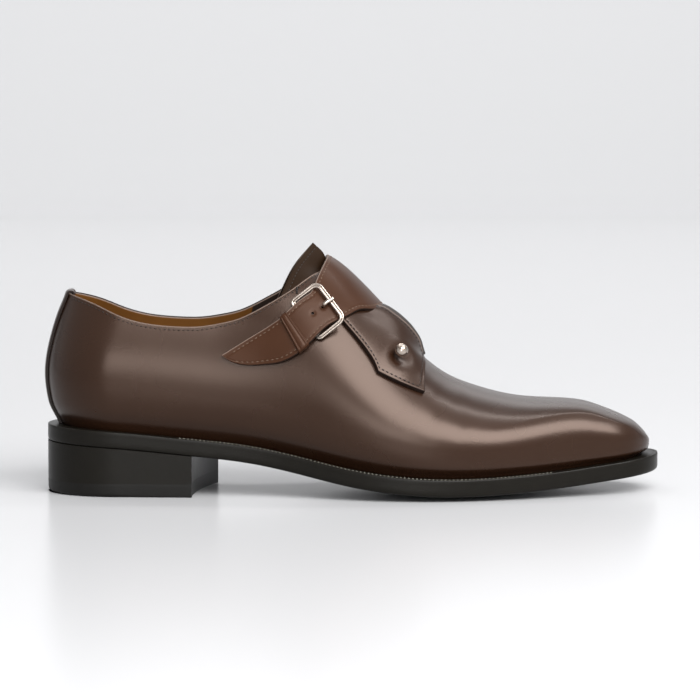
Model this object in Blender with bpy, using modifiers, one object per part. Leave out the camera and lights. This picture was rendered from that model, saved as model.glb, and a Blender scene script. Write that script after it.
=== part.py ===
# Monk strap shoe for the right foot: a welted sole with a stacked heel, a hollow upper on a
# chiselled last, a strap closed by a buckle, and a flap closed by a ball stud.
# X runs from heel to toe and Z is up. The outer side of the foot is -Y, the inner side +Y.

import math

import bmesh
import bpy
import numpy as np
from mathutils import Matrix, Vector

for old in list(bpy.data.objects):
    bpy.data.objects.remove(old)

MM = 0.001

# Driving sizes of the last
SOLE_LENGTH = 304 * MM
BALL_WIDTH = 98 * MM  # of the upper, across the ball
INSTEP_HEIGHT = 100 * MM  # of the ridge above the welt
BACK_HEIGHT = 65.5 * MM  # of the collar above the welt, at the heel
HEEL_RISE = 23 * MM  # of the welt, from ball to heel
TOE_SPRING = 8 * MM  # of the welt, from ball to toe

# Sole
WELT_THICKNESS = 2.8 * MM
OUTSOLE_THICKNESS = 5.2 * MM
EDGE_CAMBER = 2.6 * MM  # how far the edge stands off the floor at the ball
INSOLE_RISE = 1.2 * MM  # of the insole's top above the welt
WELT_LAP = 2.5 * MM  # of the welt under the upper
EDGE_ROUND = 0.6 * MM
EDGE_CROWDING = 0.06  # how far the rows across the sole move to its edges
BACK_LEDGE = 5.0 * MM
SIDE_LEDGE = 3.0 * MM
BALL_LEDGE = 4.3 * MM
TOE_LEDGE = 5.9 * MM
HEEL_LENGTH = 73 * MM  # on the outer side
HEEL_SLANT = 11 * MM  # how much longer the heel is on the inner side
BREAST_HOLLOW = 3 * MM
TOP_PIECE_THICKNESS = 6.5 * MM
TOP_PIECE_ROUND = 2.4 * MM

# Upper
UPPER_WALL = 2.0 * MM
TOE_TUCK = 1.7 * MM
BACK_ROUND = 31 * MM
TOE_ROUND = 25 * MM
NOSE_ROUND = 9 * MM
BACK_STRIP_WIDTH = 9.5 * MM
BACK_STRIP_THICKNESS = 1.5 * MM
TONGUE_THICKNESS = 1.8 * MM
TONGUE_CROWN = 7.0 * MM  # how far the free end stands out of the throat

# Strap, flap and their fastenings
STRAP_WIDTH = 20 * MM
STRAP_THICKNESS = 2.0 * MM
STRAP_STANDOFF = 3.0 * MM  # of its underside over the upper, where it crosses other layers
FLAP_REST = 2.5 * MM  # height of the flap over the upper where it isn't padded
LEAF_REST = 1.6 * MM
PAD_RISE = 6.5 * MM
PAD_ROUND = 0.0285  # how far, in station, the padding rolls down at its front
KEEPER_WIDTH = 6.5 * MM
KEEPER_WALL = 1.0 * MM
CARRIER_THICKNESS = 1.0 * MM
BUCKLE_LENGTH = 14.5 * MM  # between the middles of its bars
BUCKLE_WIDTH = 21.5 * MM
BUCKLE_BAR = 2.1 * MM
PRONG_DIAMETER = 1.7 * MM
PRONG_HOLE = 3.2 * MM
SPARE_HOLE = 2.0 * MM
PRONG_HOLE_AT = 4.6 * MM  # from the middle of the buckle toward the ridge
SPARE_HOLE_AT = -3.9 * MM
HINGE_LIFT = 1.45 * MM  # of the buckle's hinge bar over the upper
BAR_LIFT = 7.0 * MM  # of its other end
TIP_ROUND = 26 * MM
STUD_BALL = 6.2 * MM
STUD_FOOT = 5.0 * MM
FOOT_HEIGHT = 0.6 * MM
STUD_LIFT = 1.4 * MM  # of its foot over the middle of the slanted leather under it

GAP = 0.3 * MM  # between pieces that touch
SKIN_GAP = 0.5 * MM  # between the upper and what follows its curves, as both are faceted
TONGUE_GAP = 0.9 * MM

# Places: shares of the strap's length, stations, and station and across
KEEPER_AT = 0.188
BUCKLE_AT = 0.269
TONGUE_END = 0.403
TONGUE_ROOT = 0.540
LEAF_START = 0.500
LEAF_END = 0.602
LEAF_INNER = 0.40
PAD_FRONT = 0.6165
PAD_SWEEP = 0.33  # how fast the padding's front swings back beside the ridge
STUD_AT = (0.5675, -0.415)
STUD_AXIS = (0.20, -0.79, 0.58)

SOLE_STACK = WELT_THICKNESS + GAP + OUTSOLE_THICKNESS
BALL_BED = SOLE_STACK + EDGE_CAMBER

# The welt's line from the side.
# share of sole length, share of heel rise, share of toe spring, share of camber
BED_LINE = (
    (0.00, 1.000, 0.00, 0.00),
    (0.12, 0.920, 0.00, 0.00),
    (0.24, 0.770, 0.00, 0.00),
    (0.33, 0.635, 0.00, 0.10),
    (0.41, 0.430, 0.00, 0.40),
    (0.49, 0.205, 0.00, 0.80),
    (0.57, 0.060, 0.00, 1.10),
    (0.65, 0.000, 0.00, 1.20),
    (0.74, 0.000, 0.06, 1.00),
    (0.82, 0.000, 0.25, 0.70),
    (0.91, 0.000, 0.60, 0.40),
    (1.00, 0.000, 1.00, 0.20),
)

# Sections of the last. Widths are shares of the ball width, from the straight line through
# the heel, and the rise of the widest point is a share of the instep height.
# station, ridge inward, feather outer, feather inner, widest outer, widest inner, rise, fullness
SECTIONS = (
    (0.00, 0.000, 0.281, 0.281, 0.316, 0.316, 0.260, 2.0),
    (0.10, 0.000, 0.286, 0.286, 0.332, 0.332, 0.250, 2.0),
    (0.20, 0.000, 0.296, 0.270, 0.347, 0.337, 0.240, 2.0),
    (0.30, 0.005, 0.311, 0.240, 0.367, 0.342, 0.230, 2.0),
    (0.40, 0.020, 0.352, 0.250, 0.408, 0.357, 0.210, 2.0),
    (0.48, 0.041, 0.418, 0.316, 0.464, 0.398, 0.180, 2.0),
    (0.55, 0.056, 0.469, 0.388, 0.505, 0.444, 0.155, 2.0),
    (0.62, 0.066, 0.485, 0.444, 0.515, 0.485, 0.135, 2.1),
    (0.70, 0.071, 0.459, 0.469, 0.485, 0.500, 0.125, 2.2),
    (0.78, 0.066, 0.393, 0.444, 0.413, 0.469, 0.115, 2.3),
    (0.86, 0.056, 0.306, 0.383, 0.321, 0.403, 0.105, 2.4),
    (0.93, 0.051, 0.230, 0.316, 0.245, 0.332, 0.085, 2.4),
    (1.00, 0.046, 0.173, 0.260, 0.184, 0.270, 0.060, 2.3),
)

# The ridge over instep and vamp: station, rise above the welt as a share of instep height
RIDGE_LINE = (
    (0.00, 0.840),
    (0.10, 0.880),
    (0.20, 0.930),
    (0.30, 0.965),
    (0.37, 0.970),
    (0.41, 0.955),
    (0.45, 0.918),
    (0.48, 0.862),
    (0.515, 0.780),
    (0.55, 0.692),
    (0.585, 0.608),
    (0.62, 0.537),
    (0.645, 0.487),
    (0.67, 0.447),
    (0.70, 0.412),
    (0.78, 0.344),
    (0.86, 0.310),
    (0.93, 0.255),
    (1.00, 0.156),
)

# The back of the last: share of back height, set forward as a share of back height
BACK_LINE = (
    (0.00, 0.076),
    (0.09, 0.047),
    (0.19, 0.022),
    (0.40, 0.000),
    (0.64, 0.038),
    (0.82, 0.092),
    (1.00, 0.157),
    (1.40, 0.215),
)

# The collar: station, share of the way up from the widest point to the ridge
COLLAR_LINE = (
    (0.000, 0.672),
    (0.058, 0.585),
    (0.100, 0.507),
    (0.150, 0.452),
    (0.200, 0.440),
    (0.240, 0.450),
    (0.270, 0.478),
    (0.300, 0.522),
    (0.330, 0.602),
    (0.360, 0.697),
    (0.390, 0.808),
    (0.420, 0.912),
    (0.440, 0.958),
    (0.480, 1.000),
)
THROAT = COLLAR_LINE[-1][0]
BEND_END = 0.67  # where the vamp levels out under the instep


def spline(rows, column):
    """Natural cubic spline through one column of a table, against its first column."""
    table = np.array(rows, float)
    x, y = table[:, 0], table[:, column]
    h = np.diff(x)
    n = len(x)
    system = np.eye(n)
    right = np.zeros(n)
    for i in range(1, n - 1):
        system[i, i - 1:i + 2] = h[i - 1], 2 * (h[i - 1] + h[i]), h[i]
        right[i] = 6 * ((y[i + 1] - y[i]) / h[i] - (y[i] - y[i - 1]) / h[i - 1])
    bend = np.linalg.solve(system, right)

    def value(q):
        q = np.clip(np.asarray(q, float), x[0], x[-1])
        k = np.clip(np.searchsorted(x, q) - 1, 0, n - 2)
        a, b = x[k + 1] - q, q - x[k]
        curve = (bend[k] * a ** 3 + bend[k + 1] * b ** 3) / (6 * h[k])
        line = (y[k] / h[k] - bend[k] * h[k] / 6) * a + (y[k + 1] / h[k] - bend[k + 1] * h[k] / 6) * b
        return curve + line

    return value


HEEL_SHARE, TOE_SHARE, CAMBER_SHARE = (spline(BED_LINE, k) for k in (1, 2, 3))
(RIDGE_INWARD, FEATHER_OUTER, FEATHER_INNER,
 WIDEST_OUTER, WIDEST_INNER, WIDEST_RISE, FULLNESS) = (spline(SECTIONS, k) for k in range(1, 8))
RIDGE_RISE = spline(RIDGE_LINE, 1)
BACK_SET = spline(BACK_LINE, 1)
COLLAR_SHARE = spline(COLLAR_LINE, 1)

FEATHER_START = BACK_HEIGHT * BACK_LINE[0][1]
TOE_END = SOLE_LENGTH - TOE_LEDGE + TOE_TUCK
LAST_LENGTH = TOE_END - FEATHER_START


def smooth(low, high, value):
    """Smoothstep from 0 at low to 1 at high."""
    t = np.clip((value - low) / (high - low), 0, 1)
    return t * t * (3 - 2 * t)


def bed(x):
    """Height of the welt's top over the floor."""
    share = x / SOLE_LENGTH
    return BALL_BED + HEEL_RISE * HEEL_SHARE(share) + TOE_SPRING * TOE_SHARE(share)


def closing(station):
    """How far the plan has opened: 0 at the back and the toe, 1 between their rounds."""
    back = np.clip(1 - station * LAST_LENGTH / BACK_ROUND, 0, 1)
    toe = np.clip(1 - (1 - station) * LAST_LENGTH / TOE_ROUND, 0, 1)
    return np.sqrt((1 - back ** 2) * (1 - toe ** 3))


def x_at(station, rise):
    """Length along the shoe at a station, for a rise above the welt."""
    start = BACK_HEIGHT * BACK_SET(rise / BACK_HEIGHT)
    nose = INSTEP_HEIGHT * WIDEST_RISE(1.0)
    under = np.clip(1 - rise / nose, 0, 1)
    return start + (TOE_END - TOE_TUCK * under ** 2 - start) * station


def feather_x(station):
    return x_at(station, 0.0)


def ridge_rise(station):
    """Rise of the ridge, which falls to the widest point at the toe."""
    nose = np.clip(1 - (1 - station) * LAST_LENGTH / NOSE_ROUND, 0, 1)
    widest = INSTEP_HEIGHT * WIDEST_RISE(station)
    return widest + (INSTEP_HEIGHT * RIDGE_RISE(station) - widest) * np.sqrt(1 - nose ** 2)


def skin(station, across):
    """Point on the upper's outer face. Across is 0 on the ridge, -1 and 1 at the widest
    point of the outer and inner side, and -2 and 2 at the feather line."""
    station, across = np.broadcast_arrays(np.asarray(station, float), np.asarray(across, float))
    outer = across < 0
    reach = np.abs(across)
    ridge = BALL_WIDTH * RIDGE_INWARD(station)
    sign = np.where(outer, -1.0, 1.0)
    widest = BALL_WIDTH * np.where(outer, WIDEST_OUTER(station), WIDEST_INNER(station))
    feather = BALL_WIDTH * np.where(outer, FEATHER_OUTER(station), FEATHER_INNER(station))
    open_plan = closing(station)
    low = INSTEP_HEIGHT * WIDEST_RISE(station)
    power = 2 / FULLNESS(station)
    turn = np.clip(1 - reach, 0, 1) * math.pi / 2
    below = np.clip(reach - 1, 0, 1)
    over = (widest - sign * ridge) * np.cos(turn) ** power
    under = (feather - sign * ridge) + (widest - feather) * (1 - below ** 2)
    y = ridge + sign * open_plan * np.where(reach <= 1, over, under)
    up = low + (ridge_rise(station) - low) * np.sin(turn) ** power
    rise = np.where(reach <= 1, up, low * (1 - below))
    x = x_at(station, rise)
    return np.stack([x, y, bed(feather_x(station)) + rise], -1)


def collar_across(station):
    """Where the collar lies across the upper: 0 from the throat forward."""
    share = np.clip(COLLAR_SHARE(station), 0, 1)
    turn = np.arcsin(share ** (FULLNESS(station) / 2))
    return np.where(station >= THROAT, 0.0, 1 - turn / (math.pi / 2))


def unit(vectors):
    return vectors / np.maximum(np.linalg.norm(vectors, axis=-1, keepdims=True), 1e-12)


def slopes(station, across):
    """How a point on the upper moves along the shoe and over it."""
    step = 0.0005
    along = (skin(station + step, across) - skin(station - step, across)) / (2 * step)
    over = (skin(station, across + step) - skin(station, across - step)) / (2 * step)
    return along, over


def outward(station, across):
    """Unit normal of the upper."""
    return unit(np.cross(*slopes(station, across)))


def cover(name, station, across, low, high, material):
    """Solid that lies over the upper, from one height over it to another."""
    return overlay(name, skin(station, across), outward(station, across), low, high, material)


def arc_spacing(count):
    """Shares of a quarter turn's reach, close together where a round ends."""
    return 1 - np.cos(np.linspace(0, math.pi / 2, count))


def stations(back_steps, rear_steps, bend_steps, fore_steps, toe_steps):
    """Stations from back to toe, close at both rounds, at the throat and at the bend."""
    back = BACK_ROUND / LAST_LENGTH
    toe = 1 - TOE_ROUND / LAST_LENGTH
    rear = THROAT - (THROAT - back) * np.linspace(1, 0, rear_steps + 1) ** 1.25
    return np.concatenate([
        back * arc_spacing(back_steps + 1)[:-1],
        rear[:-1],
        np.linspace(THROAT, BEND_END, bend_steps + 1)[:-1],
        np.linspace(BEND_END, toe, fore_steps + 1)[:-1],
        1 - (1 - toe) * arc_spacing(toe_steps + 1)[::-1],
    ])


# Object helpers

parts = bpy.data.collections.new("monk_strap_shoe")
cutters = bpy.data.collections.new("cutters")
frame = bpy.data.objects.new("shoe_frame", None)


def finish_bmesh(bm, name, material, merge=0.00001):
    bmesh.ops.remove_doubles(bm, verts=bm.verts, dist=merge)
    bmesh.ops.dissolve_degenerate(bm, edges=bm.edges, dist=merge / 10)
    bmesh.ops.recalc_face_normals(bm, faces=bm.faces)
    mesh = bpy.data.meshes.new(name)
    bm.to_mesh(mesh)
    bm.free()
    return add_part(name, mesh, material)


def add_part(name, mesh, material, sharp=40):
    obj = bpy.data.objects.new(name, mesh)
    parts.objects.link(obj)
    obj.parent = frame
    mesh.materials.clear()
    mesh.materials.append(material)
    mesh.shade_smooth()
    mesh.set_sharp_from_angle(angle=math.radians(sharp))
    return obj


def add_grid(bm, grid, flip=False):
    """Faces over a grid of points. Returns the rows of vertices."""
    rows = [[bm.verts.new(point) for point in row] for row in grid]
    for a, b in zip(rows, rows[1:]):
        for k in range(len(a) - 1):
            face = (a[k], a[k + 1], b[k + 1], b[k])
            bm.faces.new(face[::-1] if flip else face)
    return rows


def bridge(bm, first, second):
    """Faces between two rows of vertices."""
    for k in range(len(first) - 1):
        bm.faces.new((first[k], first[k + 1], second[k + 1], second[k]))


def slab(name, top, bottom, material):
    """Closed solid between two grids of the same layout."""
    bm = bmesh.new()
    high = add_grid(bm, top)
    low = add_grid(bm, bottom, flip=True)
    bridge(bm, high[0], low[0])
    bridge(bm, low[-1], high[-1])
    bridge(bm, [row[0] for row in low], [row[0] for row in high])
    bridge(bm, [row[-1] for row in high], [row[-1] for row in low])
    return finish_bmesh(bm, name, material)


def overlay(name, grid, out, low, high, material):
    """Solid that follows a grid on the upper, from one height over it to another."""
    low = np.broadcast_to(low, grid.shape[:2])[..., None]
    high = np.broadcast_to(high, grid.shape[:2])[..., None]
    return slab(name, grid + out * high, grid + out * low, material)


def ring(name, loops, material):
    """Closed ring: each loop is a closed line, and the loops close on each other."""
    bm = bmesh.new()
    rings = [[bm.verts.new(point) for point in loop] for loop in loops]
    for a, b in zip(rings, rings[1:] + rings[:1]):
        bridge(bm, a + a[:1], b + b[:1])
    return finish_bmesh(bm, name, material)


def material(name, color, roughness, metallic=0.0):
    made = bpy.data.materials.new(name)
    made.use_nodes = True
    shader = made.node_tree.nodes["Principled BSDF"]
    shader.inputs["Base Color"].default_value = (*color, 1)
    shader.inputs["Roughness"].default_value = roughness
    shader.inputs["Metallic"].default_value = metallic
    made.diffuse_color = (*color, 1)
    return made


# Sole

def outline_offset(station, outer, distance):
    """Feather line of one side, moved outward in plan."""
    sides = -2.0 if outer else 2.0
    step = 0.0004
    points = skin(station, sides)[..., :2]
    ahead = skin(np.minimum(station + step, 1), sides)[..., :2]
    behind = skin(np.maximum(station - step, 0), sides)[..., :2]
    along = ahead - behind
    along /= np.linalg.norm(along, axis=-1, keepdims=True)
    out = np.stack([-along[:, 1], along[:, 0]], -1) * (-1 if outer else 1)
    out[station <= 0] = (-1, 0)
    out[station >= 1] = (1, 0)
    return points + out * np.broadcast_to(distance, station.shape)[:, None]


def ledge(station):
    """How far the sole stands out past the feather line."""
    back = BACK_LEDGE + (SIDE_LEDGE - BACK_LEDGE) * smooth(0, 0.10, station)
    ball = back + (BALL_LEDGE - SIDE_LEDGE) * smooth(0.32, 0.55, station)
    return ball + (TOE_LEDGE - BALL_LEDGE) * smooth(0.93, 1.0, station)


def sag(x, share):
    """How far the sole hangs below its edge, with a flat spot on the floor."""
    hollow = EDGE_CAMBER * CAMBER_SHARE(x / SOLE_LENGTH) * 4 * share * (1 - share)
    return np.minimum(hollow, bed(x) - SOLE_STACK)


def plate_grid(station, distance, steps):
    """Rows across the sole between two offset feather lines, with each point's share of
    the way across the whole sole."""
    share = np.linspace(0, 1, steps + 1)
    share = share - EDGE_CROWDING * np.sin(2 * math.pi * share)
    outer = outline_offset(station, True, distance)[:, None]
    inner = outline_offset(station, False, distance)[:, None]
    plan = outer + (inner - outer) * share[None, :, None]
    rim_outer = outline_offset(station, True, ledge(station))[:, 1:2]
    rim_inner = outline_offset(station, False, ledge(station))[:, 1:2]
    width = np.maximum(rim_inner - rim_outer, 0.1 * MM)
    return plan, np.clip((plan[..., 1] - rim_outer) / width, 0, 1)


def raised(plan, height):
    return np.concatenate([plan, height[..., None]], -1)


def make_outsole(look):
    station = stations(6, 9, 4, 6, 7)
    plan, share = plate_grid(station, ledge(station), 7)
    x = plan[..., 0]
    top = bed(x) - WELT_THICKNESS - GAP - sag(x, share)
    return slab("outsole", raised(plan, top), raised(plan, top - OUTSOLE_THICKNESS), look)


def make_insole(look):
    station = stations(6, 8, 4, 5, 7)
    plan, share = plate_grid(station, -WELT_LAP - SKIN_GAP, 5)
    x = plan[..., 0]
    base = bed(x) - sag(x, share)
    low = base - WELT_THICKNESS + GAP
    return slab("insole", raised(plan, base + INSOLE_RISE), raised(plan, low), look)


def make_welt(look):
    station = stations(7, 10, 5, 7, 8)
    rim = ledge(station)
    inside = np.full_like(rim, -WELT_LAP)
    profile = (
        (inside, 0.0),
        (rim - EDGE_ROUND, 0.0),
        (rim, EDGE_ROUND),
        (rim, WELT_THICKNESS),
        (inside, WELT_THICKNESS),
    )
    loops = []
    for distance, drop in profile:
        outer = outline_offset(station, True, distance)
        inner = outline_offset(station, False, distance)
        plan = np.concatenate([outer, inner[-2:0:-1]])
        loops.append(raised(plan, bed(plan[:, 0]) - drop))
    return ring("welt", loops, look)


def heel_grid(steps_back, steps_fore, steps_across):
    """Plan of the heel: the sole's edge round the back, and a slanted, hollow breast."""
    end_outer = (HEEL_LENGTH - FEATHER_START) / LAST_LENGTH
    end_inner = (HEEL_LENGTH + HEEL_SLANT - FEATHER_START) / LAST_LENGTH
    back = BACK_ROUND / LAST_LENGTH
    rows = []
    for end in (end_outer, end_inner):
        round_part = back * arc_spacing(steps_back + 1)[:-1]
        rows.append(np.concatenate([round_part, np.linspace(back, end, steps_fore + 1)]))
    outer = outline_offset(rows[0], True, ledge(rows[0]))[:, None]
    inner = outline_offset(rows[1], False, ledge(rows[1]))[:, None]
    share = np.linspace(0, 1, steps_across + 1)
    plan = outer + (inner - outer) * share[None, :, None]
    along = smooth(0.3, 1.0, np.linspace(0, 1, len(rows[0])))
    plan[..., 0] -= BREAST_HOLLOW * along[:, None] * 4 * share * (1 - share)
    return plan


def make_heel(stack_look, piece_look):
    plan = heel_grid(7, 4, 6)
    top = bed(plan[..., 0]) - SOLE_STACK - GAP
    split = np.full_like(top, TOP_PIECE_THICKNESS)
    slab("heel_stack", raised(plan, top), raised(plan, split + GAP), stack_look)
    middle = plan[-1].mean(0)
    back = 1 - smooth(0.2, 0.9, plan[..., 0] / HEEL_LENGTH)
    inward = middle - plan
    inward /= np.maximum(np.linalg.norm(inward, axis=-1, keepdims=True), 1e-9)
    edge = np.zeros(plan.shape[:2])
    edge[:, (0, -1)] = 1
    edge[0] = 1
    tucked = plan + inward * (TOP_PIECE_ROUND * edge * (0.25 + 0.75 * back))[..., None]
    bm = bmesh.new()
    high = add_grid(bm, raised(plan, split))
    low = add_grid(bm, raised(tucked, np.zeros_like(split)), flip=True)
    waist_height = TOP_PIECE_ROUND * (0.25 + 0.75 * back)
    waist = [[bm.verts.new(p) for p in row] for row in raised(plan, waist_height)[:, (0, -1)]]
    front = [bm.verts.new(p) for p in raised(plan, waist_height)[-1]]
    for side, column in ((0, 0), (1, -1)):
        middle_row = [row[side] for row in waist]
        bridge(bm, [row[column] for row in high], middle_row)
        bridge(bm, middle_row, [row[column] for row in low])
    bridge(bm, high[-1], front)
    bridge(bm, front, low[-1])
    return finish_bmesh(bm, "heel_top_piece", piece_look)


# Upper

def make_upper(look):
    station = stations(6, 12, 8, 5, 7)
    top = collar_across(station)
    below = np.linspace(2, 1, 4)[:-1]
    halves = []
    for side in (-1, 1):
        share = np.linspace(0, 1, 10)
        above = 1 + (top[:, None] - 1) * share
        across = np.concatenate([np.broadcast_to(below, (len(station), 3)), above], 1)
        halves.append(skin(station[:, None], side * across) + np.array((0, 0, GAP)))
    bm = bmesh.new()
    add_grid(bm, halves[0])
    add_grid(bm, halves[1], flip=True)
    obj = finish_bmesh(bm, "upper", look)
    wall = obj.modifiers.new("wall", "SOLIDIFY")
    wall.thickness = UPPER_WALL
    wall.offset = -1
    wall.use_even_offset = True
    wall.use_quality_normals = True
    return obj


def make_back_strip(look):
    """Strip over the back seam, from the welt to the collar."""
    rise = np.linspace(1.2 * MM, BACK_HEIGHT * 0.985, 12)
    y = np.linspace(-0.5, 0.5, 7) * BACK_STRIP_WIDTH
    widest = BALL_WIDTH * WIDEST_OUTER(0.0)
    low = INSTEP_HEIGHT * WIDEST_RISE(0.0)
    high = INSTEP_HEIGHT * RIDGE_RISE(0.0)
    feather = BALL_WIDTH * FEATHER_OUTER(0.0)
    below = np.clip(1 - rise / low, 0, 1)
    above = np.clip((rise - low) / (high - low), 0, 1)
    half = np.where(rise < low, feather + (widest - feather) * (1 - below ** 2),
                    widest * np.sqrt(1 - above ** 2))
    opened = np.clip(np.abs(y)[None, :] / half[:, None], 0, 0.95)
    station = BACK_ROUND / LAST_LENGTH * (1 - np.sqrt(1 - opened ** 2))
    x = x_at(station, rise[:, None])
    z = bed(feather_x(station)) + rise[:, None] + GAP
    grid = np.stack([x, np.broadcast_to(y, x.shape), z], -1)
    thick = np.full(x.shape, BACK_STRIP_THICKNESS)
    thick[:, (0, -1)] *= 0.45
    out = unit(np.cross(np.gradient(grid, axis=0), np.gradient(grid, axis=1)))
    return overlay("back_strip", grid, out, GAP, GAP + thick, look)


def make_tongue(look):
    """Tongue under the ridge, from inside the vamp to its free end above the throat."""
    reach = np.linspace(-0.56, 0.56, 13)
    share = np.linspace(0, 1, 13)[:, None]
    free_end = TONGUE_END - 0.09 * np.abs(reach)
    station = free_end + (TONGUE_ROOT - free_end) * share
    across = np.broadcast_to(reach, station.shape)
    edge = np.maximum(collar_across(station), 0.02)
    inside = np.clip(1 - np.abs(across) / edge, 0, 1)
    crown = smooth(THROAT - 0.02, THROAT - 0.06, station) * smooth(0.15, 0.85, inside)
    rising = 0.5 + 0.5 * smooth(THROAT - 0.045, TONGUE_END, station)
    top = -UPPER_WALL - TONGUE_GAP + (TONGUE_CROWN + UPPER_WALL) * crown * rising
    return cover("tongue", station, across, top - TONGUE_THICKNESS, top, look)


# Strap. The path runs from the pointed end over the ridge and down the inner side.
# path share, station, across, rear half and front half as shares of the strap's width,
# standoff as a share of the full standoff, thickness as a share of the strap's
STRAP_PATH = (
    (0.000, 0.310, -0.868, 0.45, 0.50, 0.18, 1.00),
    (0.086, 0.3445, -0.760, 0.49, 0.49, 0.45, 1.00),
    (0.164, 0.383, -0.675, 0.505, 0.505, 1.02, 1.00),
    (0.210, 0.4025, -0.612, 0.475, 0.475, 1.20, 1.00),
    (0.250, 0.4185, -0.549, 0.445, 0.445, 1.24, 1.00),
    (0.287, 0.4330, -0.493, 0.44, 0.44, 1.20, 1.00),
    (0.315, 0.4430, -0.443, 0.53, 0.53, 1.10, 1.00),
    (0.356, 0.4540, -0.365, 0.63, 0.63, 1.00, 1.00),
    (0.406, 0.4650, -0.262, 0.74, 0.75, 0.90, 1.00),
    (0.524, 0.4820, 0.000, 0.95, 0.97, 0.85, 1.00),
    (0.630, 0.4800, 0.290, 1.05, 1.00, 0.90, 0.90),
    (0.760, 0.4620, 0.580, 1.20, 1.05, 0.70, 0.75),
    (0.880, 0.4400, 0.860, 1.45, 1.20, 0.36, 0.65),
    (0.940, 0.4290, 1.150, 1.60, 1.30, 0.42, 0.60),
    (1.000, 0.4180, 1.450, 1.75, 1.40, 0.50, 0.60),
)
(PATH_STATION, PATH_ACROSS, REAR_HALF,
 FRONT_HALF, STANDOFF, THICKNESS) = (spline(STRAP_PATH, k) for k in range(1, 7))

# The flap's upper and lower edges: station and across of each
FLAP_EDGES = (
    (0.470, -0.360, 0.458, -0.470),
    (0.488, -0.310, 0.4715, -0.488),
    (0.507, -0.275, 0.491, -0.505),
    (0.525, -0.255, 0.512, -0.528),
    (0.541, -0.235, 0.529, -0.560),
    (0.556, -0.212, 0.539, -0.600),
    (0.571, -0.180, 0.558, -0.588),
    (0.585, -0.155, 0.577, -0.575),
    (0.597, -0.150, 0.595, -0.563),
    (0.607, -0.165, 0.613, -0.552),
)


def march(station, across, direction, distance, steps):
    """Walk over the upper from each point in its direction. Returns columns of positions."""
    s, a = np.array(station, float), np.array(across, float)
    stride = np.asarray(distance, float) / steps
    columns = [(s, a)]
    for _ in range(steps):
        along, over = slopes(s, a)
        aa, ao, oo = ((u * v).sum(-1) for u, v in ((along, along), (along, over), (over, over)))
        ra, ro = (direction * along).sum(-1), (direction * over).sum(-1)
        det = np.maximum(aa * oo - ao * ao, 1e-18)
        ds, da = (ra * oo - ro * ao) / det, (ro * aa - ra * ao) / det
        tangent = along * ds[..., None] + over * da[..., None]
        length = np.maximum(np.linalg.norm(tangent, axis=-1), 1e-9)
        s, a = s + ds / length * stride, a + da / length * stride
        direction = tangent / length[..., None]
        columns.append((s, a))
    return columns


def strap_frame(share):
    """Centre, direction toward the ridge, direction toward the toe, and outward normal."""
    share = np.atleast_1d(share)
    s, a = PATH_STATION(share), PATH_ACROSS(share)
    step = 0.004
    ahead = skin(PATH_STATION(share + step), PATH_ACROSS(share + step))
    behind = skin(PATH_STATION(share - step), PATH_ACROSS(share - step))
    along = unit(ahead - behind)
    out = outward(s, a)
    return skin(s, a), along, unit(np.cross(along, out)), out


def strap_positions(share, rear, front, steps):
    """Stations and acrosses of a ribbon on the upper, columns from its front edge to its rear."""
    _, _, toward_toe, _ = strap_frame(share)
    s, a = PATH_STATION(share), PATH_ACROSS(share)
    rear_edge = march(s, a, -toward_toe, rear, steps)[-1]
    columns = march(*rear_edge, toward_toe, rear + front, 2 * steps)[::-1]
    return np.stack([c[0] for c in columns], 1), np.stack([c[1] for c in columns], 1)


def strap_length():
    share = np.linspace(0, 1, 200)
    points = skin(PATH_STATION(share), PATH_ACROSS(share))
    return np.linalg.norm(np.diff(points, axis=0), axis=-1).sum()


def strap_halves(share):
    """Rear and front half widths. The end is a quarter ellipse under a straight rear edge."""
    rear = STRAP_WIDTH * REAR_HALF(share)
    front = STRAP_WIDTH * FRONT_HALF(share)
    left = np.clip(1 - share * strap_length() / TIP_ROUND, 0, 1)
    return rear, (front + rear) * np.sqrt(1 - left ** 2) - rear


def strap_bottom(share):
    return STRAP_STANDOFF * STANDOFF(share)


def strap_thickness(share):
    return STRAP_THICKNESS * THICKNESS(share)


def strap_shares():
    tip = TIP_ROUND / strap_length()
    return np.concatenate([
        tip * arc_spacing(8)[:-1] + 0.0005,
        np.linspace(tip, 0.50, 15)[:-1],
        np.linspace(0.50, 1.0, 15),
    ])


def make_strap(look):
    share = strap_shares()
    rear, front = strap_halves(share)
    s, a = strap_positions(share, rear, front, 6)
    low = strap_bottom(share)[:, None]
    high = low + strap_thickness(share)[:, None]
    obj = cover("strap", s, a, low, high, look)
    holes = (("prong_hole", PRONG_HOLE_AT, PRONG_HOLE), ("spare_hole", SPARE_HOLE_AT, SPARE_HOLE))
    for name, along, size in holes:
        bpy.ops.mesh.primitive_cylinder_add(vertices=16, radius=size / 2, depth=12 * MM)
        cutter = bpy.context.object
        cutter.name = name
        for owner in cutter.users_collection:
            owner.objects.unlink(cutter)
        cutters.objects.link(cutter)
        cutter.parent = frame
        cutter.matrix_local = buckle_matrix() @ Matrix.Translation((along, 0, STRAP_STANDOFF))
        cutter.hide_render = True
        cutter.display_type = "WIRE"
        cut = obj.modifiers.new(name, "BOOLEAN")
        cut.operation = "DIFFERENCE"
        cut.object = cutter
    return obj


def strap_front_edge():
    """Stations and acrosses of the strap's front edge, from the buckle to the inner side."""
    share = np.linspace(0.30, 0.95, 60)
    rear, front = strap_halves(share)
    s, a = strap_positions(share, rear, front, 4)
    return s[:, 0], a[:, 0]


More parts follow.
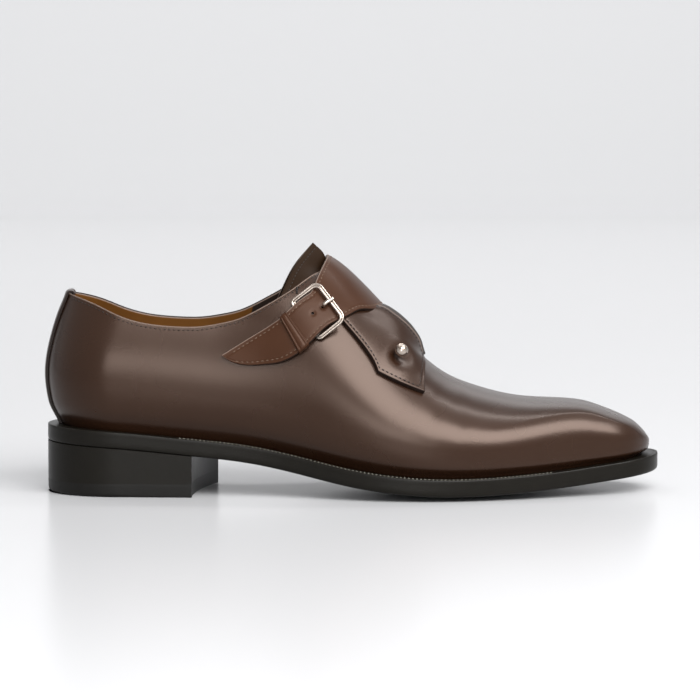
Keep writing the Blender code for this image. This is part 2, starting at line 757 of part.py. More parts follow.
def pad_height(station, across):
    """How far the padding under the flap stands over its rest height."""
    edge_s, edge_a = strap_front_edge()
    order = np.argsort(edge_a)
    start = np.interp(across, edge_a[order], edge_s[order])
    front = PAD_FRONT - PAD_SWEEP * across ** 2
    ahead = smooth(0.003, 0.040, station - start)
    side = 1 - smooth(0.15, 0.60, np.abs(across))
    rolled = np.clip((station - front + PAD_ROUND) / PAD_ROUND, 0, 1)
    return PAD_RISE * ahead * side * (1 - rolled ** 2)


def flap_edge(columns, count):
    table = np.array(FLAP_EDGES)[:, columns]
    rows = np.linspace(0, len(table) - 1, count)
    return [np.interp(rows, np.arange(len(table)), table[:, k]) for k in range(2)]


def flap_top(station, across):
    """Points on the flap's upper face."""
    height = FLAP_REST + pad_height(station, across)
    return skin(station, across) + outward(station, across) * height[..., None]


def make_flap(look):
    """Flap over the instep, padded near the ridge."""
    top_s, top_a = flap_edge((0, 1), 19)
    low_s, low_a = flap_edge((2, 3), 19)
    share = np.linspace(0, 1, 9)
    s = top_s[:, None] + (low_s - top_s)[:, None] * share
    a = top_a[:, None] + (low_a - top_a)[:, None] * share
    high = FLAP_REST + pad_height(s, a)
    return cover("stud_flap", s, a, SKIN_GAP, high, look)


def make_leaf(look):
    """Leaf of the inner side that runs over the ridge and under the flap's upper edge."""
    top_s, top_a = flap_edge((0, 1), 40)
    share = np.linspace(0, 1, 15)
    outer = np.interp(LEAF_START + (LEAF_END - LEAF_START) * share, top_s, top_a) + 0.024
    over = np.linspace(0, 1, 11)
    a = outer[:, None] + (LEAF_INNER - outer)[:, None] * over
    front = PAD_FRONT - PAD_SWEEP * a ** 2
    s = LEAF_START + (front - LEAF_START) * share[:, None]
    high = LEAF_REST + pad_height(s, a)
    return cover("inner_leaf", s, a, SKIN_GAP, high, look)


# Buckle, keeper and stud


def buckle_matrix():
    """Frame at the buckle: X along the strap toward the ridge, Y toward the heel, Z outward."""
    centre, along, front, out = (v[0] for v in strap_frame(BUCKLE_AT))
    axes = Matrix((along, -front, out)).transposed().to_4x4()
    return Matrix.Translation(Vector(centre)) @ axes


def tube(name, points, diameter, closed, look, matrix):
    curve = bpy.data.curves.new(name, "CURVE")
    curve.dimensions = "3D"
    curve.bevel_depth = diameter / 2
    curve.bevel_resolution = 2
    curve.use_fill_caps = True
    line = curve.splines.new("POLY")
    line.points.add(len(points) - 1)
    for target, point in zip(line.points, points):
        target.co = (*point, 1)
    line.use_cyclic_u = closed
    obj = bpy.data.objects.new(name, curve)
    parts.objects.link(obj)
    obj.parent = frame
    obj.matrix_local = matrix
    curve.materials.append(look)
    return obj


def rounded_rectangle(length, width, radius, steps):
    points = []
    corners = ((1, 1, 0), (-1, 1, 90), (-1, -1, 180), (1, -1, 270))
    for sx, sy, start in corners:
        for k in range(steps + 1):
            angle = math.radians(start + 90 * k / steps)
            points.append((sx * (length / 2 - radius) + radius * math.cos(angle),
                           sy * (width / 2 - radius) + radius * math.sin(angle)))
    return points


def make_buckle(look):
    flat = rounded_rectangle(BUCKLE_LENGTH, BUCKLE_WIDTH, 2.2 * MM, 4)
    slope = (BAR_LIFT - HINGE_LIFT) / BUCKLE_LENGTH
    points = [(x, y, HINGE_LIFT + slope * (x + BUCKLE_LENGTH / 2)) for x, y in flat]
    tube("buckle_frame", points, BUCKLE_BAR, True, look, buckle_matrix())
    hinge = -BUCKLE_LENGTH / 2 + (BUCKLE_BAR + PRONG_DIAMETER) / 2 + GAP
    under = GAP + PRONG_DIAMETER / 2 + 0.35 * MM
    over = BAR_LIFT + (BUCKLE_BAR + PRONG_DIAMETER) / 2 + GAP
    bar = BUCKLE_LENGTH / 2
    route = (
        (hinge, 0, under),
        (PRONG_HOLE_AT - 2.6 * MM, 0, under),
        (PRONG_HOLE_AT - 1.1 * MM, 0, under + 0.5 * MM),
        (PRONG_HOLE_AT - 0.4 * MM, 0, under + 1.8 * MM),
        (PRONG_HOLE_AT, 0, STRAP_STANDOFF + STRAP_THICKNESS / 2),
        (PRONG_HOLE_AT + 0.3 * MM, 0, over - 1.6 * MM),
        (PRONG_HOLE_AT + 1.1 * MM, 0, over - 0.3 * MM),
        (bar, 0, over),
        (bar + 1.7 * MM, 0, over - 0.2 * MM),
    )
    tube("buckle_prong", route, PRONG_DIAMETER, False, look, buckle_matrix())


def make_keeper(look):
    """Loop of leather round the strap, beside the buckle."""
    half = KEEPER_WIDTH / 2 / strap_length()
    share = KEEPER_AT + np.linspace(-half, half, 3)
    rear, front = strap_halves(share)
    bottom = strap_bottom(share)[:, None]
    top = bottom + strap_thickness(share)[:, None]
    loops = []
    for out in (GAP, GAP + KEEPER_WALL):
        s, a = strap_positions(share, rear + out, front + out, 4)
        grid = skin(s, a)
        normal = outward(s, a)
        over = grid + normal * (top + out)[..., None]
        under = grid + normal * (bottom - out)[..., None]
        loops.append(np.concatenate([over, under[:, ::-1]], 1))
    inner, outer = loops
    rows = [outer[0], outer[1], outer[2], inner[2], inner[1], inner[0]]
    return ring("strap_keeper", rows, look)


def make_carrier(look):
    """Leather tab under the strap that holds the buckle and the keeper."""
    length = strap_length()
    start = KEEPER_AT - KEEPER_WIDTH / length
    end = BUCKLE_AT - (BUCKLE_LENGTH / 2 + BUCKLE_BAR / 2 + SKIN_GAP * 2) / length
    share = np.linspace(start, end, 6)
    half = np.full(6, STRAP_WIDTH * 0.38)
    s, a = strap_positions(share, half, half, 3)
    return cover("buckle_carrier", s, a, SKIN_GAP, SKIN_GAP + CARRIER_THICKNESS, look)


def make_stud(look):
    """Turned stud with a foot, a neck, a ball and a small cap."""
    s, a = (np.array([value]) for value in STUD_AT)
    axis = Vector(STUD_AXIS).normalized()
    base = Vector(flap_top(s, a)[0]) + axis * STUD_LIFT
    ball = STUD_BALL / 2
    foot = STUD_FOOT / 2
    centre = FOOT_HEIGHT + 1.0 * MM + ball * 0.9
    profile = [(0, 0), (foot, 0), (foot, FOOT_HEIGHT), (foot * 0.55, FOOT_HEIGHT * 1.5)]
    for degrees in range(-60, 61, 15):
        angle = math.radians(degrees)
        profile.append((ball * math.cos(angle), centre + ball * math.sin(angle)))
    cap = centre + ball * math.sin(math.radians(60))
    for radius, rise in ((0.62, 0.08), (0.58, 0.26), (0.35, 0.40), (0.0, 0.45)):
        profile.append((ball * radius, cap + ball * rise))
    bm = bmesh.new()
    line = [bm.verts.new((radius, 0, z)) for radius, z in profile[::-1]]
    for first, second in zip(line, line[1:]):
        bm.edges.new((first, second))
    mesh = bpy.data.meshes.new("ball_stud")
    bm.to_mesh(mesh)
    bm.free()
    obj = add_part("ball_stud", mesh, look)
    turn = obj.modifiers.new("turned", "SCREW")
    turn.steps = 20
    turn.render_steps = 20
    turn.use_merge_vertices = True
    turn.merge_threshold = 0.00001
    obj.matrix_local = Matrix.Translation(base) @ axis.to_track_quat("Z", "Y").to_matrix().to_4x4()
    return obj


def place_origin():
    """Moves the frame so that the origin is under the middle of the shoe, on the floor."""
    bpy.context.view_layer.update()
    depsgraph = bpy.context.evaluated_depsgraph_get()
    low, high = [], []
    for obj in parts.objects:
        if obj.type == "EMPTY":
            continue
        solid = obj.evaluated_get(depsgraph)
        points = np.array([solid.matrix_world @ vertex.co for vertex in solid.to_mesh().vertices])
        solid.to_mesh_clear()
        low.append(points.min(0))
        high.append(points.max(0))
    middle = (np.min(low, 0) + np.max(high, 0)) / 2
    frame.location = (-middle[0], -middle[1], 0)


def main():
    bpy.context.scene.collection.children.link(parts)
    bpy.context.scene.collection.children.link(cutters)
    parts.objects.link(frame)
    calf = material("polished_calf", (0.050, 0.022, 0.014), 0.32)
    dull_calf = material("waxed_calf", (0.040, 0.024, 0.017), 0.55)
    nickel = material("polished_nickel", (0.80, 0.74, 0.68), 0.18, 1.0)
    black = material("black_sole_leather", (0.009, 0.008, 0.007), 0.35)
    rubber = material("black_rubber", (0.012, 0.012, 0.012), 0.6)
    tan = material("tan_lining_leather", (0.36, 0.16, 0.045), 0.6)
    make_outsole(black)
    make_welt(black)
    make_insole(tan)
    make_heel(black, rubber)
    make_upper(calf)
    make_back_strip(calf)
    make_tongue(dull_calf)
    make_strap(calf)
    make_keeper(calf)
    make_carrier(calf)
    make_buckle(nickel)
    make_leaf(dull_calf)
    make_flap(calf)
    make_stud(nickel)
    place_origin()


main()
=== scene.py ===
import math

import bmesh
import bpy
import numpy as np
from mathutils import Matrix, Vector


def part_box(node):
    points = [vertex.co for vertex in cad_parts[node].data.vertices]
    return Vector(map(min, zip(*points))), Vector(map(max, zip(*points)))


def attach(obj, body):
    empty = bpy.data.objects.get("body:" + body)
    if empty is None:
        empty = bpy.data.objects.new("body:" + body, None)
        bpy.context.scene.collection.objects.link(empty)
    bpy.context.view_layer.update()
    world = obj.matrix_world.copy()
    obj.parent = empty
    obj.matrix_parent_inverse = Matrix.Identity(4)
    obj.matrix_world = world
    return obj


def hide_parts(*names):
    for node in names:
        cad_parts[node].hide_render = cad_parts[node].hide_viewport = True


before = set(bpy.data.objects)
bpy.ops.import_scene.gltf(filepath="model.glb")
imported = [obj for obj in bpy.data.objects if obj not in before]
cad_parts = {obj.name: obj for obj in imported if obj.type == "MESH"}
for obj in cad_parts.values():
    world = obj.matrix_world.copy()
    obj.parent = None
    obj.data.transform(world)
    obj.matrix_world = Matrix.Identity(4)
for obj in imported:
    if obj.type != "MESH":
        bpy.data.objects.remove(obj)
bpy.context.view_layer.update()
print("frame loaded")

# Lengths are in millimetres. X runs from the back edge of the sole to the toe, Y is 0 on the
# heel's middle line and negative on the outer side of the foot, and Z is up from the floor.
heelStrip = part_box("back_strip")
shoeZero = np.array([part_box("outsole")[0].x, (heelStrip[0].y + heelStrip[1].y) / 2, 0.0])

last = {
    "length": 304.0,  # of the sole
    "ballWidth": 98.0,
    "instepHeight": 100.0,
    "backHeight": 65.5,
    "ballBed": 10.9,  # top of the welt over the floor at the ball
    "heelRise": 23.0,
    "toeSpring": 8.0,
    "camber": 2.6,  # how far the sole's edge stands off the floor at the ball
    "backRound": 31.0,  # length of the round in plan, at the back and at the toe
    "toeRound": 25.0,
    "noseRound": 9.0,  # length over which the toe's upper side comes down
    "toeEnd": 299.8,
    "toeTuck": 1.7,  # how far the toe is drawn in under its widest line
    "throat": 0.48,  # station where the collar reaches the ridge
    "boxyToe": 0.8,  # added fullness of the toe's outer side
    "boxyStations": (0.72, 0.90),  # over which it comes in
    "lean": 0.0016,  # how fast the quarters curve inward above the widest line
    "leanStations": (0.26, 0.42),  # over which the lean fades out
    "leanBelow": 6.0,  # it starts this far below the widest line
    "leanReach": 46.0,  # and grows over this height
}

# share of sole length, share of heel rise, share of toe spring, share of camber
bedLine = (
    (0.00, 1.000, 0.00, 0.00),
    (0.12, 0.920, 0.00, 0.00),
    (0.24, 0.770, 0.00, 0.00),
    (0.33, 0.635, 0.00, 0.10),
    (0.41, 0.430, 0.00, 0.40),
    (0.49, 0.205, 0.00, 0.80),
    (0.57, 0.060, 0.00, 1.10),
    (0.65, 0.000, 0.00, 1.20),
    (0.74, 0.000, 0.06, 1.00),
    (0.82, 0.000, 0.25, 0.70),
    (0.91, 0.000, 0.60, 0.40),
    (1.00, 0.000, 1.00, 0.20),
)

# station, ridge inward, feather outer, feather inner, widest outer, widest inner, rise, fullness
sections = (
    (0.00, 0.000, 0.281, 0.281, 0.316, 0.316, 0.260, 2.0),
    (0.10, 0.000, 0.286, 0.286, 0.332, 0.332, 0.250, 2.0),
    (0.20, 0.000, 0.296, 0.270, 0.347, 0.337, 0.240, 2.0),
    (0.30, 0.005, 0.311, 0.240, 0.367, 0.342, 0.230, 2.0),
    (0.40, 0.020, 0.352, 0.250, 0.408, 0.357, 0.210, 2.0),
    (0.48, 0.041, 0.418, 0.316, 0.464, 0.398, 0.180, 2.0),
    (0.55, 0.056, 0.469, 0.388, 0.505, 0.444, 0.155, 2.0),
    (0.62, 0.066, 0.485, 0.444, 0.515, 0.485, 0.135, 2.1),
    (0.70, 0.071, 0.459, 0.469, 0.485, 0.500, 0.125, 2.2),
    (0.78, 0.066, 0.393, 0.444, 0.413, 0.469, 0.115, 2.3),
    (0.86, 0.056, 0.306, 0.383, 0.321, 0.403, 0.105, 2.4),
    (0.93, 0.051, 0.230, 0.316, 0.245, 0.332, 0.085, 2.4),
    (1.00, 0.046, 0.173, 0.260, 0.184, 0.270, 0.060, 2.3),
)

# station, rise of the ridge above the welt as a share of instep height
ridgeLine = (
    (0.00, 0.840),
    (0.10, 0.880),
    (0.20, 0.930),
    (0.30, 0.965),
    (0.37, 0.970),
    (0.41, 0.955),
    (0.45, 0.918),
    (0.48, 0.862),
    (0.515, 0.780),
    (0.55, 0.692),
    (0.585, 0.608),
    (0.62, 0.537),
    (0.645, 0.487),
    (0.67, 0.447),
    (0.70, 0.412),
    (0.78, 0.344),
    (0.86, 0.311),
    (0.89, 0.291),
    (0.93, 0.240),
    (0.965, 0.184),
    (1.00, 0.112),
)

# share of back height, set forward as a share of back height
backLine = (
    (0.00, 0.076),
    (0.09, 0.047),
    (0.19, 0.022),
    (0.40, 0.000),
    (0.64, 0.038),
    (0.82, 0.092),
    (1.00, 0.157),
    (1.40, 0.215),
)

# station, share of the way up from the widest point to the ridge
collarLine = (
    (0.000, 0.672),
    (0.058, 0.585),
    (0.100, 0.507),
    (0.150, 0.452),
    (0.200, 0.440),
    (0.240, 0.450),
    (0.270, 0.478),
    (0.300, 0.522),
    (0.330, 0.602),
    (0.360, 0.697),
    (0.390, 0.808),
    (0.420, 0.926),
    (0.440, 0.972),
    (0.480, 1.000),
)


# A natural cubic spline: the second slopes come from one linear system, and each stretch is
# its straight line plus the cubic that those slopes give.
def curveThrough(rows, column):
    table = np.array(rows, float)
    x, y = table[:, 0], table[:, column]
    h = np.diff(x)
    n = len(x)
    system = np.eye(n)
    right = np.zeros(n)
    middle = np.arange(1, n - 1)
    system[middle, middle - 1] = h[:-1]
    system[middle, middle] = 2 * (h[:-1] + h[1:])
    system[middle, middle + 1] = h[1:]
    right[middle] = 6 * (np.diff(y)[1:] / h[1:] - np.diff(y)[:-1] / h[:-1])
    bend = np.linalg.solve(system, right)

    def value(q):
        q = np.clip(np.asarray(q, float), x[0], x[-1])
        k = np.clip(np.searchsorted(x, q) - 1, 0, n - 2)
        a, b = x[k + 1] - q, q - x[k]
        cubic = (bend[k] * a ** 3 + bend[k + 1] * b ** 3) / (6 * h[k])
        near = (y[k] / h[k] - bend[k] * h[k] / 6) * a
        return cubic + near + (y[k + 1] / h[k] - bend[k + 1] * h[k] / 6) * b

    return value


heelShare, toeShare, camberShare = (curveThrough(bedLine, k) for k in (1, 2, 3))
ridgeIn, featherOut, featherIn, widestOut, widestIn, widestRise, fullness = (
    curveThrough(sections, k) for k in range(1, 8))
ridgeRiseShare = curveThrough(ridgeLine, 1)
backSet = curveThrough(backLine, 1)
collarShare = curveThrough(collarLine, 1)
featherStart = last["backHeight"] * backLine[0][1]
lastLength = last["toeEnd"] - featherStart


def smooth(low, high, value):  # 0 at low, 1 at high, level at both ends
    t = np.clip((value - low) / (high - low), 0, 1)
    return t * t * (3 - 2 * t)


def bump(centre, width, value):  # 1 at the centre, falling away as a bell
    return np.exp(-((value - centre) / width) ** 2)


def unit(vectors):  # the same directions with a length of 1
    return vectors / np.maximum(np.linalg.norm(vectors, axis=-1, keepdims=True), 1e-12)


def bed(x):  # top of the welt over the floor
    share = x / last["length"]
    heel = last["heelRise"] * heelShare(share)
    return last["ballBed"] + heel + last["toeSpring"] * toeShare(share)


def xAt(station, rise):  # length along the shoe at a station, for a rise above the welt
    start = last["backHeight"] * backSet(rise / last["backHeight"])
    under = np.clip(1 - rise / (last["instepHeight"] * widestRise(1.0)), 0, 1)
    return start + (last["toeEnd"] - last["toeTuck"] * under ** 2 - start) * station


# A point on the last. The plan opens as a quarter ellipse at the heel and the toe. A section
# is a superellipse quarter from the widest point (across 1) up to the ridge (across 0), and a
# parabola from there down to the feather line (across 2). Negative across is the outer side.
# The quarters lean inward by the square of their height.
def skin(station, across):
    station, across = np.broadcast_arrays(np.asarray(station, float), np.asarray(across, float))
    outer = across < 0
    reach = np.abs(across)
    sign = np.where(outer, -1.0, 1.0)
    ridge = last["ballWidth"] * ridgeIn(station)
    widest = last["ballWidth"] * np.where(outer, widestOut(station), widestIn(station))
    feather = last["ballWidth"] * np.where(outer, featherOut(station), featherIn(station))
    back = np.clip(1 - station * lastLength / last["backRound"], 0, 1)
    toe = np.clip(1 - (1 - station) * lastLength / last["toeRound"], 0, 1)
    openPlan = np.sqrt((1 - back ** 2) * (1 - toe ** 3))
    nose = np.clip(1 - (1 - station) * lastLength / last["noseRound"], 0, 1)
    low = last["instepHeight"] * widestRise(station)
    high = low + (last["instepHeight"] * ridgeRiseShare(station) - low) * np.sqrt(1 - nose ** 2)
    boxy = last["boxyToe"] * smooth(*last["boxyStations"], station)
    power = 2 / (fullness(station) + outer * boxy)
    turn = np.clip(1 - reach, 0, 1) * math.pi / 2
    below = np.clip(reach - 1, 0, 1)
    over = (widest - sign * ridge) * np.cos(turn) ** power
    under = (feather - sign * ridge) + (widest - feather) * (1 - below ** 2)
    rise = np.where(reach <= 1, low + (high - low) * np.sin(turn) ** power, low * (1 - below))
    onQuarter = 1 - smooth(*last["leanStations"], station)
    leaning = np.clip(rise - low + last["leanBelow"], 0, last["leanReach"])
    drawnIn = last["lean"] * onQuarter * leaning ** 2
    half = np.where(reach <= 1, np.maximum(over - drawnIn, 0.1 * over), under)
    y = ridge + sign * openPlan * half
    x = xAt(station, rise)
    return np.stack([x, y, bed(xAt(station, 0.0)) + rise], -1)


def collarAcross(station):  # where the collar runs: the section's angle, turned to across
    share = np.clip(collarShare(station), 0, 1)
    turn = np.arcsin(share ** (fullness(station) / 2))
    return np.where(station >= last["throat"], 0.0, 1 - turn / (math.pi / 2))


def slopes(station, across):  # how the skin moves with station and with across
    step = 0.0005
    along = (skin(station + step, across) - skin(station - step, across)) / (2 * step)
    over = (skin(station, across + step) - skin(station, across - step)) / (2 * step)
    return along, over


def outward(station, across):
    return unit(np.cross(*slopes(station, across)))


def lifted(station, across, height):  # point at a height over the last
    return skin(station, across) + outward(station, across) * np.asarray(height, float)[..., None]


def quarterRows(count):  # shares of a quarter turn's reach, close together where a round ends
    return 1 - np.cos(np.linspace(0, math.pi / 2, count))


def borderDrop(distance, radius):  # 1 at a border, 0 a radius inside it, as a quarter circle
    return 1 - np.sqrt(1 - np.clip(1 - distance / radius, 0, 1) ** 2)


def runLength(line):  # distance along a line of points, from its start
    return np.concatenate([[0], np.cumsum(np.linalg.norm(np.diff(line, axis=0), axis=-1))])


# Mesh makers

def place(points):  # from shoe millimetres to the row's metres
    return np.asarray(points, float) * 0.001 + shoeZero


# Faces of a grid of vertex numbers, one for each cell.
def gridFaces(index):
    cells = np.stack([index[:-1, :-1], index[:-1, 1:], index[1:, 1:], index[1:, :-1]], -1)
    return cells.reshape(-1, 4)


# A mesh from whole arrays of points and faces, which then rides on the one body.
def makePiece(name, points, faces, looks, faceLooks=None, sharp=38, replaces=(), slot=None):
    points = place(points.reshape(-1, 3))
    mesh = bpy.data.meshes.new(name)
    mesh.vertices.add(len(points))
    mesh.vertices.foreach_set("co", points.ravel())
    mesh.loops.add(faces.size)
    mesh.loops.foreach_set("vertex_index", faces.ravel())
    mesh.polygons.add(len(faces))
    mesh.polygons.foreach_set("loop_start", np.arange(len(faces)) * faces.shape[1])
    mesh.polygons.foreach_set("loop_total", np.full(len(faces), faces.shape[1]))
    for look in looks:
        mesh.materials.append(look)
    if faceLooks is not None:
        mesh.polygons.foreach_set("material_index", faceLooks)
    mesh.update(calc_edges=True)
    cleanUp(mesh)
    mesh.shade_smooth()
    mesh.set_sharp_from_angle(angle=math.radians(sharp))
    obj = bpy.data.objects.new(name, mesh)
    bpy.context.scene.collection.objects.link(obj)
    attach(obj, "root")
    if replaces:
        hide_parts(*replaces)
    return obj


def cleanUp(mesh):  # joins what meets and points every face outwards
    work = bmesh.new()
    work.from_mesh(mesh)
    bmesh.ops.remove_doubles(work, verts=work.verts, dist=0.000004)
    bmesh.ops.dissolve_degenerate(work, edges=work.edges, dist=0.000001)
    bmesh.ops.recalc_face_normals(work, faces=work.faces)
    work.to_mesh(mesh)
    work.free()


# Closed solid between two grids: the upper grid, the lower grid turned over, and four rims,
# at the first and last row and the first and last column, each with its own look. The looks
# of the last two also cover as many cells of the upper grid as edgeCells says.
def makeSlab(name, top, bottom, looks, rimLooks=(1, 1, 1, 1), edgeCells=(0, 0), **more):
    rows, columns = top.shape[:2]
    high = np.arange(rows * columns).reshape(rows, columns)
    low = high + rows * columns
    rims = [
        gridFaces(np.stack([high[0], low[0]])),
        gridFaces(np.stack([low[-1], high[-1]])),
        gridFaces(np.stack([low[:, 0], high[:, 0]])),
        gridFaces(np.stack([high[:, -1], low[:, -1]])),
    ]
    faces = np.concatenate([gridFaces(high), gridFaces(low[:, ::-1])] + rims)
    cells = (rows - 1) * (columns - 1)
    counts = [cells, cells, columns - 1, columns - 1, rows - 1, rows - 1]
    faceLooks = np.repeat((0, 0) + tuple(rimLooks), counts)
    upper = faceLooks[:cells].reshape(rows - 1, columns - 1)
    upper[:, :edgeCells[0]] = rimLooks[2]
    upper[:, columns - 1 - edgeCells[1]:] = rimLooks[3]
    points = np.concatenate([top.reshape(-1, 3), bottom.reshape(-1, 3)])
    return makePiece(name, points, faces, looks, faceLooks, **more)


# Tube of loops: the grid closes across its columns, and along its rows if it is a ring.
def makeTube(name, loops, looks, ringed=False, **more):
    rows, columns = loops.shape[:2]
    index = np.arange(rows * columns).reshape(rows, columns)
    index = np.concatenate([index, index[:, :1]], 1)
    if ringed:
        index = np.concatenate([index, index[:1]])
    faces = gridFaces(index)
    points = loops.reshape(-1, 3)
    if not ringed:  # a fan of flat quads closes each end
        middle = len(points) + np.arange(2)
        points = np.concatenate([points, loops[0].mean(0)[None], loops[-1].mean(0)[None]])
        for end, centre in ((index[0], middle[0]), (index[-1], middle[1])):
            fan = np.stack([np.full(columns // 2, centre), end[0:-2:2], end[1:-1:2], end[2::2]], -1)
            faces = np.concatenate([faces, fan])
    return makePiece(name, points, faces, looks, **more)


# Stitches: one short rod with tapered ends, repeated along a line. At each place the rod
# lies along the line with its height along the outward normal, and its ends are sunk.
def makeStitches(name, line, normal, look, pitch, length, thick, slot="calf"):
    steps = runLength(line)
    count = max(int(steps[-1] // pitch), 1)
    at = (np.arange(count) + 0.5) * steps[-1] / count

    def along(table, distance):
        return np.stack([np.interp(distance, steps, table[:, k]) for k in range(3)], -1)

    centre = along(line, at)
    out = unit(along(normal, at))
    forward = unit(along(line, at + 0.2) - along(line, at - 0.2))
    side = unit(np.cross(out, forward))
    reach = np.array([-0.5, -0.36, 0.0, 0.36, 0.5]) * length
    body = np.array([0.35, 0.85, 1.0, 0.85, 0.35]) * thick / 2
    sink = np.array([-0.45, -0.05, 0.12, -0.05, -0.45]) * thick
    ring = np.linspace(0, 2 * math.pi, 7)[:-1]
    loops = (centre[:, None, None] + forward[:, None, None] * reach[:, None, None]
             + side[:, None, None] * (body[:, None] * np.cos(ring))[..., None]
             + out[:, None, None] * (sink[:, None] + body[:, None] * np.sin(ring))[..., None])
    points = len(reach) * len(ring)
    index = np.arange(points).reshape(len(reach), len(ring))
    index = np.concatenate([index, index[:, :1]], 1)
    ends = np.array([[0, 3, 2, 1], [0, 5, 4, 3], [24, 25, 26, 27], [24, 27, 28, 29]])
    one = np.concatenate([gridFaces(index), ends])
    faces = (one[None] + points * np.arange(count)[:, None, None]).reshape(-1, 4)
    return makePiece(name, loops.reshape(-1, 3), faces, [look], sharp=80, slot=slot)


# Materials

def linear(hexColour):  # sRGB hex to linear colour
    values = [int(hexColour[k:k + 2], 16) / 255 for k in (1, 3, 5)]
    curved = [v / 12.92 if v <= 0.04045 else ((v + 0.055) / 1.055) ** 2.4 for v in values]
    return (*curved, 1.0)


def perMetre(sizeMm):  # texture scale that gives a pattern of this size
    return 1000.0 / sizeMm


# A setting goes to the input of that name, or else to the node's own property.
def addNode(look, kind, settings=None, links=None):
    node = look.node_tree.nodes.new(kind)
    for key, value in (settings or {}).items():
        if key in node.inputs:
            node.inputs[key].default_value = value
        else:
            setattr(node, key, value)
    for key, source in (links or {}).items():
        look.node_tree.links.new(source, node.inputs[key])
    return node


def newLook(name, settings):
    look = bpy.data.materials.new(name)
    look.use_nodes = True
    shader = look.node_tree.nodes["Principled BSDF"]
    for key, value in settings.items():
        shader.inputs[key].default_value = value
    look.diffuse_color = settings.get("Base Color", (0.5, 0.5, 0.5, 1.0))
    return look, shader


# Colour between two tones by a noise of one size, roughness that varies with it, and a bump
# from fine pores and from wrinkles three times their size. Depth is in millimetres.
def grainedLook(name, dark, light, roughness, patchMm, poreMm, depth,
                spread=0.02, specular=0.5, sheen="#ffffff"):
    look, shader = newLook(name, {
        "Base Color": linear(light), "Roughness": roughness,
        "Specular IOR Level": specular, "Specular Tint": linear(sheen)})
    links = look.node_tree.links
    where = addNode(look, "ShaderNodeTexCoord").outputs["Object"]
    patches = addNode(look, "ShaderNodeTexNoise", {
        "Scale": perMetre(patchMm), "Detail": 2.0, "Roughness": 0.45}, {"Vector": where})
    tones = addNode(look, "ShaderNodeMix", {
        "data_type": "RGBA"}, {"Factor": patches.outputs["Fac"]})
    for socket, tone in ((6, dark), (7, light)):  # the colour inputs A and B
        tones.inputs[socket].default_value = linear(tone)
    links.new(tones.outputs[2], shader.inputs["Base Color"])
    shine = addNode(look, "ShaderNodeMapRange", {
        "From Min": 0.1, "From Max": 0.9,
        "To Min": roughness - spread, "To Max": roughness + spread},
        {"Value": patches.outputs["Fac"]})
    links.new(shine.outputs["Result"], shader.inputs["Roughness"])
    pores = addNode(look, "ShaderNodeTexVoronoi", {"Scale": perMetre(poreMm)}, {"Vector": where})
    wrinkles = addNode(look, "ShaderNodeTexNoise", {
        "Scale": perMetre(poreMm * 3), "Detail": 3.0}, {"Vector": where})
    both = addNode(look, "ShaderNodeMath", {"operation": "ADD"}, {
        0: pores.outputs["Distance"], 1: wrinkles.outputs["Fac"]})
    bumpNode = addNode(look, "ShaderNodeBump", {"Strength": 0.5, "Distance": depth * 0.001}, {
        "Height": both.outputs[0]})
    links.new(bumpNode.outputs["Normal"], shader.inputs["Normal"])
    return look


waxSheen = "#ffe4d5"  # the wax warms what the calf reflects

# Full-grain calf, dyed brown and polished with wax: a smooth face whose pores hardly show.
calf = grainedLook("polished_calf", "#1e1008", "#20120a", 0.27, 22.0, 0.7, 0.03,
                   specular=0.35, sheen=waxSheen)
# The same calf on strap, keeper and carrier, which takes a redder tone.
strapCalf = grainedLook("polished_calf_strap", "#2b180e", "#331f14", 0.33, 14.0, 0.7, 0.03,
                        specular=0.13, sheen=waxSheen)
# Calf with less wax, on the tongue and under the flap: duller, with a light bloom.
waxedCalf = grainedLook("waxed_calf", "#170e07", "#1d1209", 0.42, 12.0, 0.8, 0.05,
                        specular=0.07, sheen=waxSheen)
# Vegetable-tanned lining, left natural: golden tan, dry and finely grained.
lining = grainedLook("tanned_lining", "#492b0d", "#623e17", 0.55, 18.0, 0.6, 0.05, specular=0.2)
# The same hide, darkened from a station forward: painted shade deep inside the shoe, under the
# vamp.
shadedLining = grainedLook("lining_painted_shade", "#17100c", "#201711", 0.55, 18.0, 0.6, 0.05, specular=0.2)
# Cut edge of the calf, sanded and waxed: the pale inside of the hide shows.
cutEdge = grainedLook("pared_edge", "#4e4037", "#63544b", 0.5, 3.0, 0.5, 0.04, specular=0.22)
# Edge inked dark and polished, a thin line that hardly shines; on edges that face down or away from
# the light it is also painted shade.
shadeAndInkEdge = grainedLook("inked_edge_and_painted_shade", "#120b08", "#1e130e", 0.42, 3.0, 0.5, 0.03, specular=0.25)
# Sole leather, dyed black and burnished with hot wax: dense, with a low even sheen.
soleEdge = grainedLook("burnished_sole", "#0d0b08", "#110f0b", 0.34, 6.0, 0.9, 0.02, specular=0.13)
# The same leather underneath, left matt.
soleBottom = grainedLook("sole_underside", "#171512", "#23201c", 0.55, 8.0, 0.9, 0.03, specular=0.3)
# Moulded rubber of the heel's top piece: matt, with a faint grain.
rubber = grainedLook("moulded_rubber", "#0c0b09", "#100f0d", 0.42, 4.0, 0.8, 0.03, specular=0.16)
# Waxed linen thread, spun and drawn tight: dull short rods, in three dyes.
brownThread = grainedLook("brown_thread", "#44342a", "#594739", 0.6, 1.0, 0.4, 0.05, specular=0.2)
darkThread = grainedLook("dark_thread", "#0f0906", "#1a110c", 0.6, 1.0, 0.4, 0.05, specular=0.3)
greyThread = grainedLook("grey_thread", "#5c5a53", "#78756c", 0.6, 1.0, 0.4, 0.05, specular=0.2)
# Nickel plate on turned and bent brass, polished: bright, slightly warm, with fine lines.
nickel = grainedLook("nickel_plate", "#a79b91", "#b6aaa0", 0.24, 5.0, 0.3, 0.004, spread=0.03)
nickel.node_tree.nodes["Principled BSDF"].inputs["Metallic"].default_value = 1.0
print("materials ready")


# Upper

